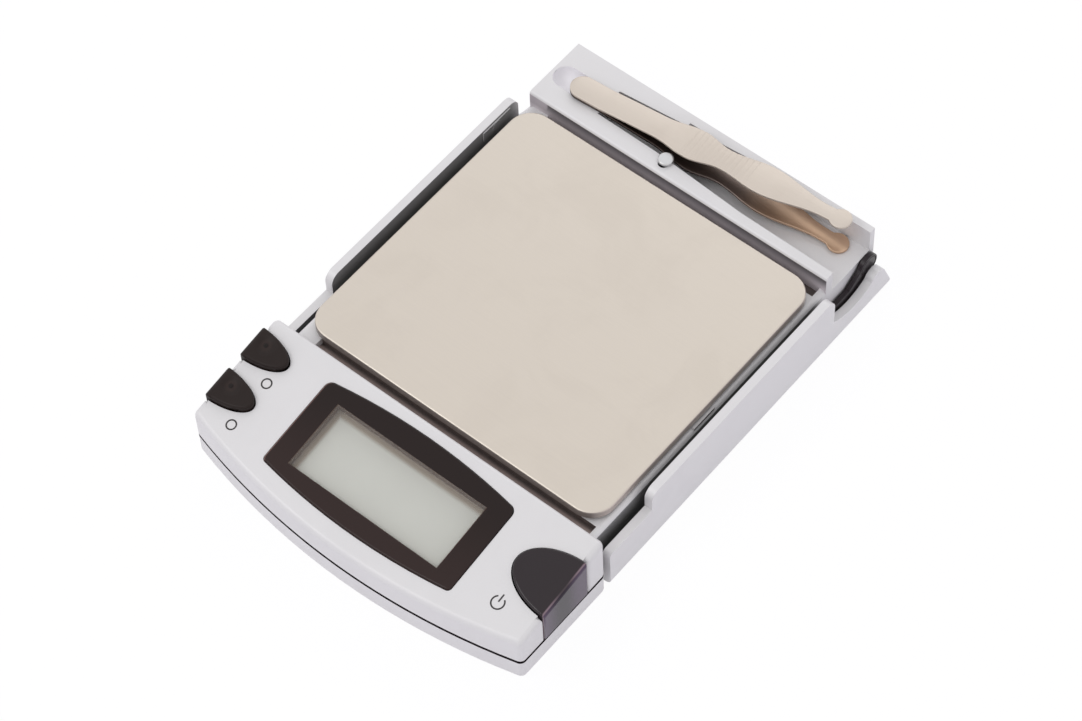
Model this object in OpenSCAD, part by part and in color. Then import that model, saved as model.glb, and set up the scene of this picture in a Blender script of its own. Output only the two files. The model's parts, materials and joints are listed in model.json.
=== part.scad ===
// Pocket scale with a protective cover that swings round behind the body and folds flat beneath it.
// Millimetres. +X is the power key side, +Y the hinge end, +Z up. The origin is the middle of the
// footprint on the table. The cover is drawn folded under the body, as the scale stands in use.

/* [Overall] */
// Outer width of the cover and of the control section
cover_w = 78; // [74:0.5:86]
// Length of the control section, from its bowed front to its rear wall
control_len = 28.8; // [28.3:0.1:31.4]
// Gap between the control section and the end of the cover
cover_gap = 1.2; // [0.8:0.1:2]
// Length of the cover
cover_len = 84.4; // [83.4:0.1:90]
// How far the cover reaches behind the body
rear_lip = 1.4; // [0.8:0.1:2]
// Bow of the front edge
front_bow = 5.3; // [3:0.1:7]
// Radius of the front corners in plan
front_corner = 1.3; // [1:0.1:2.5]
// Radius of the rear corners of the control section in plan
rear_corner = 1.2; // [1:0.1:2.5]

/* [Cover] */
// Thickness of the cover floor
cover_floor = 2; // [1.5:0.1:2.2]
// Thickness of the cover side walls
cover_wall = 1.7; // [1.5:0.1:2]
// Height of the main stretch of the side walls
cover_wall_h = 15; // [14:0.5:16]
// Height of the side walls at the front end
cover_low_h = 10.2; // [9.4:0.1:11.4]
// Length of the low stretch at the front end
cover_low_len = 12; // [10.6:0.1:14]
// Length of the cut-down stretch at the hinge end
cover_cut_len = 18; // [17:0.1:19]
// Height of the rounded lobe at the hinge end
cover_lobe_h = 8.4; // [7:0.1:9]
// Radius of the bottom long edges
cover_edge_r = 1.4; // [0.8:0.1:1.6]

/* [Swing arms] */
// Gap between the body side and the cover wall, which holds the arms
side_gap = 1.65; // [1.65:0.05:2]
// Thickness of an arm
arm_t = 1; // [0.9:0.05:1.1]
// Width of an arm
arm_w = 4; // [3.5:0.1:4.4]
// Radius of an arm's eye
arm_eye_r = 2.6; // [2.4:0.1:2.7]
// Distance of the body pivot from the hinge end
body_pivot_back = 4.5; // [4:0.1:5]
// Height of the body pivot
body_pivot_z = 9; // [8.8:0.1:9.2]
// Height of the cover pivot above the table
cover_pivot_z = 5; // [4.8:0.1:5.2]
// Radius of the pivot pins
pin_r = 1.45; // [1.2:0.05:1.5]
// Radial running clearance of the pivots
pin_clear = 0.05; // [0.03:0.01:0.08]
// Room above the body and the tweezers when the cover is closed
lid_room = 3.6; // [3.6:0.1:6]

/* [Body] */
// Wall thickness of the case
wall = 1.7; // [1.4:0.1:1.8]
// Floor thickness of the case
floor_t = 1.6; // [1.6:0.1:1.8]
// Height of the seam between the shells
seam_z = 5.3; // [5.2:0.05:5.5]
// Height of the shadow gap along the seam
seam_gap = 0.4; // [0.2:0.05:0.5]
// Depth of the shadow gap along the seam
seam_depth = 0.6; // [0.4:0.1:0.8]
// Height of the deck under the plate
deck_z = 12.6; // [12.4:0.1:12.9]
// Radius of the long edges of the deck
deck_edge_r = 1.2; // [0.8:0.1:1.3]
// Thickness of the deck
deck_t = 1.4; // [1.2:0.1:1.5]
// Depth of the trenches in front of and behind the plate
trench_d = 1.6; // [1:0.1:1.7]
// Height of the control panel at its rear edge
panel_z = 16.56; // [16.2:0.01:17.2]
// Tilt of the control panel, down towards the front
panel_tilt = 10.33; // [9:0.1:11]
// Thickness of the control panel
panel_t = 1.6; // [1.4:0.1:1.8]
// Length of the rear block, which holds the tweezers
block_len = 15; // [15:0.1:16]
// Height of the rear block
block_z = 16.62; // [16.5:0.01:17.2]
// Radius of the rib in front of the tweezers
rib_r = 0.8; // [0.5:0.1:1.6]
// Depth of the tweezers recess
recess_d = 5.6; // [5:0.1:5.6]

/* [Weighing plate] */
// Length of the plate
plate_len = 64.8; // [60:0.1:65.5]
// Width of the plate
plate_w = 69.6; // [60:0.1:70.6]
// Corner radius of the plate
plate_r = 5; // [3:0.5:8]
// Thickness of the plate sheet
plate_t = 0.8; // [0.6:0.1:1]
// Height of the plate with its turned-down rim
plate_h = 1.97; // [1.7:0.01:2.2]
// Gap between the rim of the plate and the deck
plate_gap = 0.7; // [0.5:0.1:1]
// Gap between the plate and the rear block
rear_trench = 1.75; // [1.2:0.05:2.2]
// Downward travel of the plate at full load
plate_travel = 0.3; // [0.1:0.05:0.3]

/* [Display] */
// Width of the display bezel
bezel_w = 44.4; // [42:0.1:46]
// Length of the display bezel at its corners
bezel_len = 18.7; // [17.5:0.1:18.8]
// Bow of the long edges of the bezel
bezel_bow = 1.8; // [1:0.1:2]
// Radius of the rear corners of the bezel
bezel_r = 1.6; // [1:0.1:2.5]
// Radius of the front corners of the bezel
bezel_front_r = 1; // [0.6:0.1:1.6]
// Distance of the bezel corners from the rear edge of the panel
bezel_back = 4.4; // [4.2:0.1:4.5]
// How far the bezel stands above the panel
bezel_up = 0.3; // [0.1:0.1:0.5]
// Width of the display window
window_w = 35; // [30:0.5:36]
// Length of the display window
window_len = 13.8; // [12:0.1:14]

/* [Keys] */
// Reach of the two small keys in from the side
small_key_reach = 8.7; // [8:0.1:9.2]
// Width of a small key
small_key_w = 6.6; // [6:0.1:7]
// Pitch of the two small keys
small_key_pitch = 9.75; // [9.5:0.05:10.2]
// Distance of the rear small key's middle from the rear edge of the panel
small_key_back = 6.8; // [6.6:0.1:7.1]
// How far the small keys stand above the panel
small_key_up = 1.2; // [0.8:0.1:1.6]
// Reach of the power key in from the side
power_key_reach = 10.9; // [10:0.1:11.5]
// Width of the power key
power_key_w = 12.2; // [11:0.1:12.6]
// Distance of the power key's middle from the rear edge of the panel
power_key_back = 11.3; // [10.9:0.1:11.9]
// How far the power key stands above the panel
power_key_up = 0.6; // [0.3:0.1:1]
// Travel of a key
key_travel = 0.3; // [0.2:0.05:0.3]
// Clearance round a key
key_clear = 0.25; // [0.2:0.05:0.35]

/* [Battery] */
// Diameter of a coin cell
cell_d = 20; // [19:0.5:20]
// Thickness of a coin cell
cell_h = 3.2; // [2.5:0.1:3.2]
// Width of the battery door
door_w = 43.6; // [43:0.1:44.4]
// Clearance of the battery door in its opening
door_clear = 0.15; // [0.1:0.05:0.2]

/* [Load cell] */
// Length of the load cell
cell_beam_len = 48; // [44:1:50]
// Width of the load cell
cell_beam_w = 10; // [8:0.5:11]
// Height of the load cell
cell_beam_h = 5; // [4.6:0.1:5]
// Radius of the bores that thin the load cell
cell_bore_r = 1.9; // [1.5:0.1:1.95]

/* [Tweezers] */
// Length of the tweezers
tweezers_len = 62.9; // [60:0.1:63.4]
// Width of a leg at the joined end
leg_w = 5.2; // [5:0.1:5.4]
// Width of the ribbed grip
grip_w = 7.2; // [6.4:0.1:7.3]
// Width of the waist beyond the grip
waist_w = 4.8; // [4.4:0.1:5.2]
// Width of the belly beyond the waist
belly_w = 6.8; // [6:0.1:7]
// Width of the neck behind the round tip
neck_w = 2.9; // [2.4:0.1:3.2]
// Thickness of a leg
leg_t = 0.6; // [0.5:0.05:0.7]
// Radius of the round tips
tip_r = 2.2; // [1.8:0.1:2.3]
// Gap between the tips
tip_gap = 7.3; // [6:0.1:7.3]
// Length over which the legs are joined
weld_len = 8; // [6:0.5:9]

/* [Hidden] */
$fn = 48;
cut = 1;
touch = 0.01;
far = 200;

// Plan positions, from the front of the control section to the hinge end
total_len = control_len + cover_gap + cover_len;
y_front = -total_len / 2;
y_ctrl = y_front + control_len;
y_cover = y_ctrl + cover_gap;
y_rear = total_len / 2;
block_y1 = y_rear - rear_lip;
block_y0 = block_y1 - block_len;
plate_y1 = block_y0 - rear_trench;
plate_y0 = plate_y1 - plate_len;
plate_yc = (plate_y0 + plate_y1) / 2;
ctrl_hw = cover_w / 2;
cover_in = ctrl_hw - cover_wall;
body_hw = cover_in - side_gap;
front_r = (ctrl_hw * ctrl_hw + front_bow * front_bow) / (2 * front_bow);

// Heights
under_gap = 0.3;
body_z0 = cover_floor + under_gap;
body_floor_z = body_z0 + floor_t;
trench_z = deck_z - trench_d;
ceiling_z = trench_z - 1.2;
recess_z = block_z - recess_d;
plate_z0 = deck_z + plate_gap;
plate_top = plate_z0 + plate_h;
function panel_at(y) = panel_z + tan(panel_tilt) * (y - y_ctrl);

// Trenches
trench_x0 = -(body_hw - 4.6);
trench_x1 = body_hw - 1.4;
trench_under = 0.6;

// Small ridge on the power key side of the deck
nub_back = 4.95;
nub_len = 6;
nub_up = 0.3;

// Tweezers recess, as offsets from the front of the rear block
recess_x0 = -(body_hw - 3.35);
recess_front = [[recess_x0, 4.5], [recess_x0 + 8.3, 4], [recess_x0 + 25.3, 3.7],
  [recess_x0 + 46.3, 2.3], [body_hw + cut, 1.95]];
recess_rear = [[body_hw + cut, 13.6], [recess_x0 + 41.3, 13.5], [recess_x0 + 26.3, 12.3],
  [recess_x0, 9.8]];
scoop_r = (recess_rear[3][1] - recess_front[0][1]) / 2;
scoop_y = block_y0 + (recess_rear[3][1] + recess_front[0][1]) / 2;
deep_x0 = recess_x0 + 10.3;

// Notch in the rear rim of the recess
rim_slot_x = recess_x0 + 25.7;
rim_slot_w = 3.4;
rim_slot_back = 1.9;

// Pivots of the folding cover
pivot_b = [y_rear - body_pivot_back, body_pivot_z];
pivot_c = [y_cover + cover_len / 2 - 0.35, cover_pivot_z];
arm_len = norm(pivot_b - pivot_c);
lid_under = block_z + lid_room;
closed_z = lid_under + cover_floor - cover_pivot_z;
closed_y = pivot_b[0] - sqrt(arm_len * arm_len - pow(closed_z - pivot_b[1], 2));
arm_from = 180 + atan((pivot_b[1] - pivot_c[1]) / (pivot_b[0] - pivot_c[0]));
arm_to = 540 - atan((closed_z - pivot_b[1]) / (pivot_b[0] - closed_y));
arm_swing = arm_to - arm_from;
cover_ratio = (180 - arm_swing) / arm_swing;
arm_x0 = body_hw + (side_gap - arm_t) / 2 - 0.02;
arm_x1 = arm_x0 + arm_t;
arm_knee = [pivot_b[0] - 5.4, 5.25];
head_r = 2.1;
head_t = 0.35;
shoulder_r = 2.2;
pin_seat = 3.2;
pin_bite = 1.1;

// Keys
key_stub_x = ctrl_hw - 1.1;
key_stub_r = 0.6;
key_stub = 0.5;
key_side = 0.2;
key_skin = 1.5;
key_foot_z = seam_z + key_travel + 0.1;
key_stub_z = key_foot_z + key_stub_r + 0.1;
unit_key_y = y_ctrl - small_key_back;
tare_key_y = unit_key_y - small_key_pitch;
power_key_y = y_ctrl - power_key_back;
switch_in = 4.9;

// Circuit board
board_z = 6.4;
board_t = 1.2;
board_hw = ctrl_hw - 3.2;
board_y0 = y_front + 7;
board_y1 = y_ctrl - 2;
board_screw_x = 27.5;
board_screw_r = 0.9;
board_head_r = 1.7;
board_head_t = 1;
board_screw_y = [board_y0 + 2.6, board_y1 - 2.6];
switch_h = 2.4;
stem_h = 0.6;
post_gap = key_travel + 0.05;
resin_r = 4;
resin_back = 9;
crystal = [2.2, 6, 1.8];
crystal_x = 24.5;
crystal_back = 8;
buzzer_r = 3;
buzzer_h = 2.2;
buzzer_x = 25.5;
buzzer_back = 11;

// Display, measured down from the panel face
bezel_y1 = y_ctrl - bezel_back;
bezel_y0 = bezel_y1 - bezel_len;
bezel_t = 1.2;
window_t = 0.9;
window_yc = (bezel_y0 + bezel_y1) / 2 - 0.3;
lcd_down = 2.2;
lcd_t = 1.6;
lcd_w = window_w + 4;
lcd_len = window_len + 3;
holder_t = 0.9;

// Battery bay
door_hw = door_w / 2;
door_t = 1.3;
door_z0 = 0.15;
bay_y = y_ctrl - wall - cell_d / 2 - 1.6;
door_y0 = bay_y - cell_d / 2 - 0.6;
door_y1 = bay_y + cell_d / 2 + 0.8;
door_axis = [door_y1 - door_t / 2, door_z0 + door_t / 2];
door_stub_r = 0.42;
door_stub = 1;
door_rib_w = 16;
door_rib_pitch = 1.6;
cell_x = max(door_hw / 2, cell_d / 2 + 0.4);
holder_hw = max(door_hw, cell_x + cell_d / 2) + 0.6;
contact_w = 4;
contact_len = 12;
contact_t = 0.25;
cell_z = door_z0 + door_t + 0.2;
holder_h = 3.2;

// Load cell and what it carries
beam_z = body_floor_z + 1;
beam_top = beam_z + cell_beam_h;
beam_end = 11;
beam_screw_x = cell_beam_len / 2 - beam_end / 2;
beam_screw_r = 1.25;
beam_screw_pair = [-beam_end / 2 + 2.9, beam_end / 2 - 2.9];
screw_room = 0.2;
bore_x = cell_beam_w / 2 - 0.5;
gauge = [4, 4, 0.12];
carrier_t = 1.05;
pad_t = 0.4;
carrier_z1 = plate_top - plate_t - pad_t;
carrier_hw = 22;
carrier_boss = [beam_end, cell_beam_w];
ribbon_x = lcd_w / 2 + 0.5;
ribbon_w = 5;
ribbon_t = 0.2;
ribbon_lap = 3;
hatch_room = 1.5;

// Case screws, in the four corners of the thin part of the body and two under the rear block
case_screw_r = 1.1;
case_head_r = 2;
case_head_t = 1.1;
boss_r = 2.9;
case_screw_x = body_hw - wall - boss_r + 0.2;
case_screw_front = 5.1;
case_screw_rear = 5;
block_screw_x = 18;
deck_screws_xy = [for (y = [y_ctrl + case_screw_front, block_y0 - case_screw_rear], s = [-1, 1])
  [s * case_screw_x, y]];
block_screws_xy = [for (s = [-1, 1]) [s * block_screw_x, block_y1 - wall - boss_r - 0.6]];
case_screws_xy = concat(deck_screws_xy, block_screws_xy);

// Tweezers
tweezers_inset = 5.58;
tweezers_x = -(body_hw - tweezers_inset);
tweezers_y = block_y0 + 6.25;
tweezers_yaw = 4.45;
tweezers_rest = 0.35;
tip_s = tweezers_len - tip_r;
join_z = block_z + tweezers_rest + leg_t;
tip_z = recess_z + 0.25 + leg_t + tip_gap / 2;
tweezers_pitch = atan((join_z - tip_z) / tip_s);
leg_stations = [[leg_w / 2, leg_w / 2], [20, leg_w / 2], [28.3, grip_w / 2],
  [35.2, waist_w / 2], [44, belly_w / 2], [tip_s - 3.2, neck_w / 2], [tip_s, neck_w / 2]];

// Strip with square ends between two points
module strip(p, q, w) {
  d = q - p;
  translate(p) rotate(atan2(d[1], d[0])) translate([0, -w / 2]) square([norm(d), w]);
}

// Turns a drawing of Y across and Z up into a plate that is thick along X
module along_x(x0, x1) {
  translate([x0, 0, 0]) rotate([90, 0, 90]) linear_extrude(x1 - x0) children();
}

// Turns a drawing of X across and Z up into a bar that is long along Y
module along_y(y0, y1) {
  translate([0, y1, 0]) rotate([90, 0, 0]) linear_extrude(y1 - y0) children();
}

// Everything that lies deeper than the given depth under the face of the control panel
module under_panel(depth) {
  translate([0, y_ctrl, panel_z]) rotate([panel_tilt, 0, 0])
    translate([-far / 2, -far / 2, -far - depth]) cube([far, far, far]);
}

// A slab that follows the slope of the panel, between two depths under its face
module panel_slab(d0, d1) {
  difference() {
    intersection() {
      linear_extrude(far / 4) children();
      under_panel(d0);
    }
    under_panel(d1);
  }
}

// Plan of the control section, drawn in by an inset
module control_plan(inset) {
  hw = ctrl_hw - inset;
  big = front_r - inset;
  rf = max(front_corner - inset, 0.2);
  rr = max(rear_corner - inset, 0.2);
  yc = y_front + front_r - sqrt(pow(big - rf, 2) - pow(hw - rf, 2));
  y1 = y_ctrl - inset;
  meet = (hw - rf) * big / (big - rf);
  intersection() {
    translate([0, y_front + front_r]) circle(big, $fn = 180);
    translate([-meet, y_front - cut]) square([2 * meet, yc - y_front + 2 * cut]);
  }
  translate([-hw, yc]) square([2 * hw, y1 - rr - yc]);
  translate([-(hw - rr), yc]) square([2 * (hw - rr), y1 - yc]);
  for (s = [-1, 1]) {
    translate([s * (hw - rf), yc]) circle(rf);
    translate([s * (hw - rr), y1 - rr]) circle(rr);
  }
}

// Plan of the bezel: a rectangle whose long edges bow out and run smoothly into its corners
module bezel_plan(grow) {
  hw = bezel_w / 2 + grow;
  bow_r = (hw * hw + bezel_bow * bezel_bow) / (2 * bezel_bow);
  mid = (bezel_y0 + bezel_y1) / 2;
  for (side = [[1, bezel_y1 + grow, bezel_r], [-1, bezel_y0 - grow, bezel_front_r]]) {
    r = side[2];
    bow_y = side[1] + side[0] * (bezel_bow - bow_r);
    corner_y = bow_y + side[0] * sqrt(pow(bow_r - r, 2) - pow(hw - r, 2));
    meet = (hw - r) * bow_r / (bow_r - r);
    intersection() {
      translate([0, bow_y]) circle(bow_r, $fn = 180);
      translate([-meet, side[0] > 0 ? mid - cut : mid + cut - bezel_len])
        square([2 * meet, bezel_len]);
    }
    translate([-hw, min(mid, corner_y) - touch]) square([2 * hw, abs(corner_y - mid) + touch]);
    for (s = [-1, 1]) translate([s * (hw - r), corner_y]) circle(r);
  }
}

// Half of an ellipse that grows in from the side of the case, as seen from above
module key_plan(yc, reach, w, grow) {
  out = ctrl_hw + key_side + grow;
  steps = 36;
  polygon(concat([[out, yc - w / 2 - grow]],
    [for (i = [0 : steps]) let (a = -90 - 180 * i / steps)
      [ctrl_hw + (reach + grow) * cos(a), yc + (w / 2 + grow) * sin(a)]],
    [[out, yc + w / 2 + grow]]));
}

// A key that folds over the edge of the panel, with two stubs at its foot that hold it in
module side_key(yc, reach, w, up) {
  intersection() {
    panel_slab(-up, key_skin - up) key_plan(yc, reach, w, 0);
    translate([0, yc - w, 0]) cube([far / 2, 2 * w, far / 4]);
  }
  intersection() {
    translate([ctrl_hw + key_side - key_skin, yc - w / 2, key_foot_z])
      cube([key_skin, w, far / 10]);
    under_panel(-up);
  }
  translate([key_stub_x, yc - w / 2 - key_stub, key_stub_z]) rotate([-90, 0, 0])
    cylinder(r = key_stub_r, h = w + 2 * key_stub);
  post_x = ctrl_hw - switch_in;
  intersection() {
    translate([post_x, yc, board_z + board_t + switch_h + stem_h + post_gap])
      cylinder(r = 1.2, h = far / 10);
    under_panel(key_skin - up - touch);
  }
}

// The hole that a key works in
module key_hole(yc, reach, w) {
  translate([0, 0, seam_z]) linear_extrude(far / 10)
    key_plan(yc, reach, w, key_clear);
  y0 = yc - w / 2 - key_stub - 0.1;
  len = w + 2 * key_stub + 0.2;
  r = key_stub_r + 0.05;
  translate([key_stub_x, y0, key_stub_z]) rotate([-90, 0, 0]) cylinder(r = r, h = len);
  translate([key_stub_x - r, y0, seam_z - cut]) cube([2 * r, len, key_stub_z - seam_z + cut]);
}

// A screw that points up, with its head at the bottom
module screw_up(r, head_radius, head_height, len) {
  cylinder(r = head_radius, h = head_height);
  translate([0, 0, head_height - touch]) cylinder(r = r, h = len);
}

// Bottom half of the case, with the battery bay in the control section
module lower_shell() {
  color("gainsboro") difference() {
    union() {
      difference() {
        union() {
          linear_extrude(seam_z) control_plan(0);
          translate([-body_hw, y_ctrl - 2 * rear_corner, body_z0])
            cube([2 * body_hw, block_y1 - y_ctrl + 2 * rear_corner, seam_z - body_z0]);
        }
        translate([0, 0, floor_t]) linear_extrude(seam_z) control_plan(wall);
        translate([-(body_hw - wall), y_ctrl - 2 * wall, body_floor_z])
          cube([2 * (body_hw - wall), block_y1 - y_ctrl + wall, seam_z]);
      }
      for (p = case_screws_xy) translate([p[0], p[1], body_z0])
        cylinder(r = boss_r, h = seam_z - body_z0);
      for (s = [-1, 1], y = board_screw_y) translate([s * board_screw_x, y, touch])
        cylinder(r = 2, h = board_z - touch);
      translate([-beam_screw_x - beam_end / 2, plate_yc - cell_beam_w / 2, body_z0 + touch])
        cube([beam_end, cell_beam_w, beam_z - body_z0 - touch]);
    }
    for (p = case_screws_xy) translate([p[0], p[1], body_z0 - cut]) {
      cylinder(r = case_screw_r + 0.2, h = far / 10);
      cylinder(r = case_head_r + 0.2, h = case_head_t + 0.1 + cut);
    }
    for (s = [-1, 1], y = board_screw_y) translate([s * board_screw_x, y, floor_t])
      cylinder(r = board_screw_r, h = far / 10);
    for (dx = beam_screw_pair) translate([dx - beam_screw_x, plate_yc, body_z0 - cut])
      cylinder(r = beam_screw_r, h = far / 10);
    for (dx = beam_screw_pair) translate([dx - beam_screw_x, plate_yc, body_z0 - cut])
      cylinder(r = head_r + 0.1, h = 0.9 + cut);
    door_opening();
  }
}

// The opening of the battery door, its two bearings and a notch for a fingernail
module door_opening() {
  grow = door_clear;
  translate([-door_hw - grow, door_y0 - grow, -cut])
    cube([door_w + 2 * grow, door_y1 - door_y0 + 2 * grow, floor_t + 2 * cut]);
  translate([-door_hw - door_stub - 0.1, door_axis[0], door_axis[1]]) rotate([0, 90, 0])
    cylinder(r = door_stub_r + pin_clear, h = door_w + 2 * door_stub + 0.2);
  translate([0, door_y0, -cut]) cylinder(r = 2.6, h = 0.9 + cut);
}

// Top half of the case up to the rear block: control panel and deck
module upper_shell() {
  color("gainsboro") difference() {
    union() {
      difference() {
        deck_outside();
        deck_inside();
      }
      for (p = deck_screws_xy) translate([p[0], p[1], seam_z])
        cylinder(r = boss_r, h = ceiling_z - seam_z + touch);
      translate([body_hw - 0.9, plate_yc - nub_back, deck_z - 2])
        cube([0.55, nub_len, 2 + nub_up]);
    }
    for (p = deck_screws_xy) translate([p[0], p[1], seam_z - cut])
      cylinder(r = case_screw_r, h = ceiling_z - seam_z);
    linear_extrude(far / 10) bezel_plan(0.1);
    key_hole(power_key_y, power_key_reach, power_key_w);
    mirror([1, 0, 0]) key_hole(unit_key_y, small_key_reach, small_key_w);
    mirror([1, 0, 0]) key_hole(tare_key_y, small_key_reach, small_key_w);
    for (y = [[y_ctrl, plate_y0 + trench_under], [plate_y1 - trench_under, block_y0 + cut]])
      translate([trench_x0, y[0], trench_z]) cube([trench_x1 - trench_x0, y[1] - y[0], deck_z]);
    translate([beam_screw_x - beam_end / 2 - hatch_room,
        plate_yc - cell_beam_w / 2 - hatch_room, ceiling_z - cut])
      cube([beam_end + 2 * hatch_room, cell_beam_w + 2 * hatch_room, far / 10]);
  }
}

module deck_outside() {
  base = seam_z + seam_gap;
  intersection() {
    translate([0, 0, base]) linear_extrude(far / 10) control_plan(0);
    under_panel(0);
  }
  translate([0, 0, seam_z]) linear_extrude(seam_gap + touch) control_plan(seam_depth);
  deck_y0 = y_ctrl - 2 * rear_corner;
  along_y(deck_y0, block_y0) {
    translate([-body_hw, base]) square([2 * body_hw, deck_z - deck_edge_r - base]);
    translate([-(body_hw - deck_edge_r), base])
      square([2 * (body_hw - deck_edge_r), deck_z - base]);
    for (s = [-1, 1]) translate([s * (body_hw - deck_edge_r), deck_z - deck_edge_r])
      circle(deck_edge_r);
  }
  translate([-(body_hw - seam_depth), deck_y0, seam_z])
    cube([2 * (body_hw - seam_depth), block_y0 - deck_y0, seam_gap + touch]);
}

module deck_inside() {
  intersection() {
    translate([0, 0, seam_z - cut]) linear_extrude(far / 10) control_plan(wall);
    under_panel(panel_t);
  }
  in_hw = body_hw - wall;
  translate([-in_hw, y_ctrl - 2 * wall, seam_z - cut])
    cube([2 * in_hw, block_y0 + cut - y_ctrl + 2 * wall, ceiling_z - seam_z + cut]);
  shelf = trench_under + 1.2;
  translate([-in_hw, plate_y0 + shelf, seam_z - cut])
    cube([2 * in_hw, plate_y1 - plate_y0 - 2 * shelf, deck_z - deck_t - seam_z + cut]);
}

// Rear block, which closes the top of the case and holds the tweezers and the arm pins
module rear_block() {
  base = seam_z + seam_gap;
  in_hw = body_hw - wall;
  color("gainsboro") difference() {
    union() {
      difference() {
        union() {
          along_x(-body_hw, body_hw) {
            translate([block_y0, base]) square([block_len, block_z - rib_r - base]);
            translate([block_y0 + rib_r, base]) square([block_len - rib_r, block_z - base]);
            translate([block_y0 + rib_r, block_z - rib_r]) circle(rib_r);
          }
          translate([-(body_hw - seam_depth), block_y0, seam_z])
            cube([2 * (body_hw - seam_depth), block_len - seam_depth, seam_gap + touch]);
        }
        translate([-in_hw, block_y0 - cut, seam_z - cut])
          cube([2 * in_hw, block_len - wall + cut, ceiling_z - seam_z + cut]);
      }
      for (p = block_screws_xy) translate([p[0], p[1], seam_z])
        cylinder(r = boss_r, h = ceiling_z - seam_z + touch);
      for (s = [-1, 1]) translate([s > 0 ? body_hw - 4 : -body_hw + touch,
          pivot_b[0] - 3.1, seam_z])
        cube([4 - touch, block_y1 - pivot_b[0] + 3.1 - touch, ceiling_z - seam_z + touch]);
    }
    for (p = block_screws_xy) translate([p[0], p[1], seam_z - cut])
      cylinder(r = case_screw_r, h = ceiling_z - seam_z);
    for (s = [-1, 1]) translate([s > 0 ? body_hw - pin_seat : -body_hw - cut, pivot_b[0],
        pivot_b[1]]) rotate([0, 90, 0]) cylinder(r = pin_r, h = pin_seat + cut);
    tweezers_recess();
    translate([rim_slot_x, block_y1 - rim_slot_back - 1.3, block_z - 1.5])
      cube([rim_slot_w, 1.3, far / 10]);
    translate([catch_x, catch_y - 0.7, block_z - 2.5]) cylinder(r = 0.8, h = far / 10);
  }
}

// The recess opens at the power key side and ends in a round scoop at the other
module tweezers_recess() {
  plan = [for (p = concat(recess_front, recess_rear)) [p[0], block_y0 + p[1]]];
  intersection() {
    translate([0, 0, recess_z]) linear_extrude(far / 10) polygon(plan);
    translate([deep_x0, block_y0, 0]) cube([far, block_len, far / 4]);
  }
  translate([recess_x0, scoop_y, block_z]) rotate([0, 90, 0])
    cylinder(r = scoop_r, h = deep_x0 - recess_x0 + cut);
  translate([recess_x0, scoop_y, block_z]) sphere(scoop_r);
}

module case_screws() {
  color("dimgray") for (p = case_screws_xy) translate([p[0], p[1], body_z0 + 0.1])
    screw_up(case_screw_r, case_head_r, case_head_t, ceiling_z - body_z0 - 2.6);
}

// Dark frame round the display
module display_bezel() {
  color([0.24, 0.21, 0.2]) difference() {
    panel_slab(-bezel_up, bezel_t) bezel_plan(0);
    translate([-window_w / 2, window_yc - window_len / 2, 0])
      cube([window_w, window_len, far / 4]);
  }
}

// Clear pane, flush with the frame
module display_window() {
  color([0.8, 0.85, 0.82, 0.4]) panel_slab(-bezel_up + 0.05, window_t)
    translate([-window_w / 2, window_yc - window_len / 2]) square([window_w, window_len]);
}

module lcd_panel() {
  color([0.77, 0.78, 0.74]) panel_slab(lcd_down, lcd_down + lcd_t)
    translate([-lcd_w / 2, window_yc - lcd_len / 2]) square([lcd_w, lcd_len]);
}

// Frame that carries the liquid crystal panel on the circuit board
module lcd_holder() {
  rim = 1.6;
  color("whitesmoke") {
    difference() {
      panel_slab(panel_t + 0.05, lcd_down + lcd_t + holder_t)
        translate([-lcd_w / 2 - rim, window_yc - lcd_len / 2 - rim])
          square([lcd_w + 2 * rim, lcd_len + 2 * rim]);
      panel_slab(0, lcd_down + lcd_t)
        translate([-lcd_w / 2, window_yc - lcd_len / 2]) square([lcd_w, lcd_len]);
      panel_slab(0, far / 10)
        translate([-lcd_w / 2 + 2, window_yc - lcd_len / 2 + 2])
          square([lcd_w - 4, lcd_len - 4]);
    }
    difference() {
      for (s = [-1, 1]) translate([s * (lcd_w / 2) - 1, window_yc + lcd_len / 2 - rim, 0])
        cube([2, 2 * rim, far / 10]);
      translate([-far / 2, -far / 2, -cut]) cube([far, far, board_z + board_t + cut]);
      difference() {
        translate([-far / 2, -far / 2, 0]) cube([far, far, far]);
        under_panel(lcd_down + lcd_t + holder_t - touch);
      }
    }
  }
}

// Rubber strip that joins the panel's contacts to the board
module lcd_connector() {
  color("lightpink") intersection() {
    translate([-lcd_w / 2 + 2.6, window_yc + lcd_len / 2 - 4.2, board_z + board_t])
      cube([lcd_w - 5.2, 2, far / 10]);
    under_panel(lcd_down + lcd_t);
  }
}

module circuit_board() {
  color("darkgreen") difference() {
    intersection() {
      translate([0, 0, board_z]) linear_extrude(board_t) control_plan(wall + 0.6);
      translate([-board_hw, board_y0, 0]) cube([2 * board_hw, board_y1 - board_y0, far / 10]);
    }
    for (s = [-1, 1], y = board_screw_y) translate([s * board_screw_x, y, board_z - cut])
      cylinder(r = board_screw_r + 0.15, h = board_t + 2 * cut);
  }
}

// Chip under its dome of resin, a crystal and a buzzer
module board_parts() {
  top = board_z + board_t;
  color([0.12, 0.12, 0.13]) {
    translate([0, board_y0 + resin_back, board_z - 0.9]) cylinder(r = resin_r, h = 0.9);
    translate([crystal_x, board_y0 + crystal_back, top]) cube(crystal);
    translate([-buzzer_x, board_y0 + buzzer_back, top]) cylinder(r = buzzer_r, h = buzzer_h);
  }
}

module board_screws() {
  color("silver") for (s = [-1, 1], y = board_screw_y)
    translate([s * board_screw_x, y, board_z + board_t + board_head_t]) rotate([180, 0, 0])
      screw_up(board_screw_r, board_head_r, board_head_t, board_t + 3);
}

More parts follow.
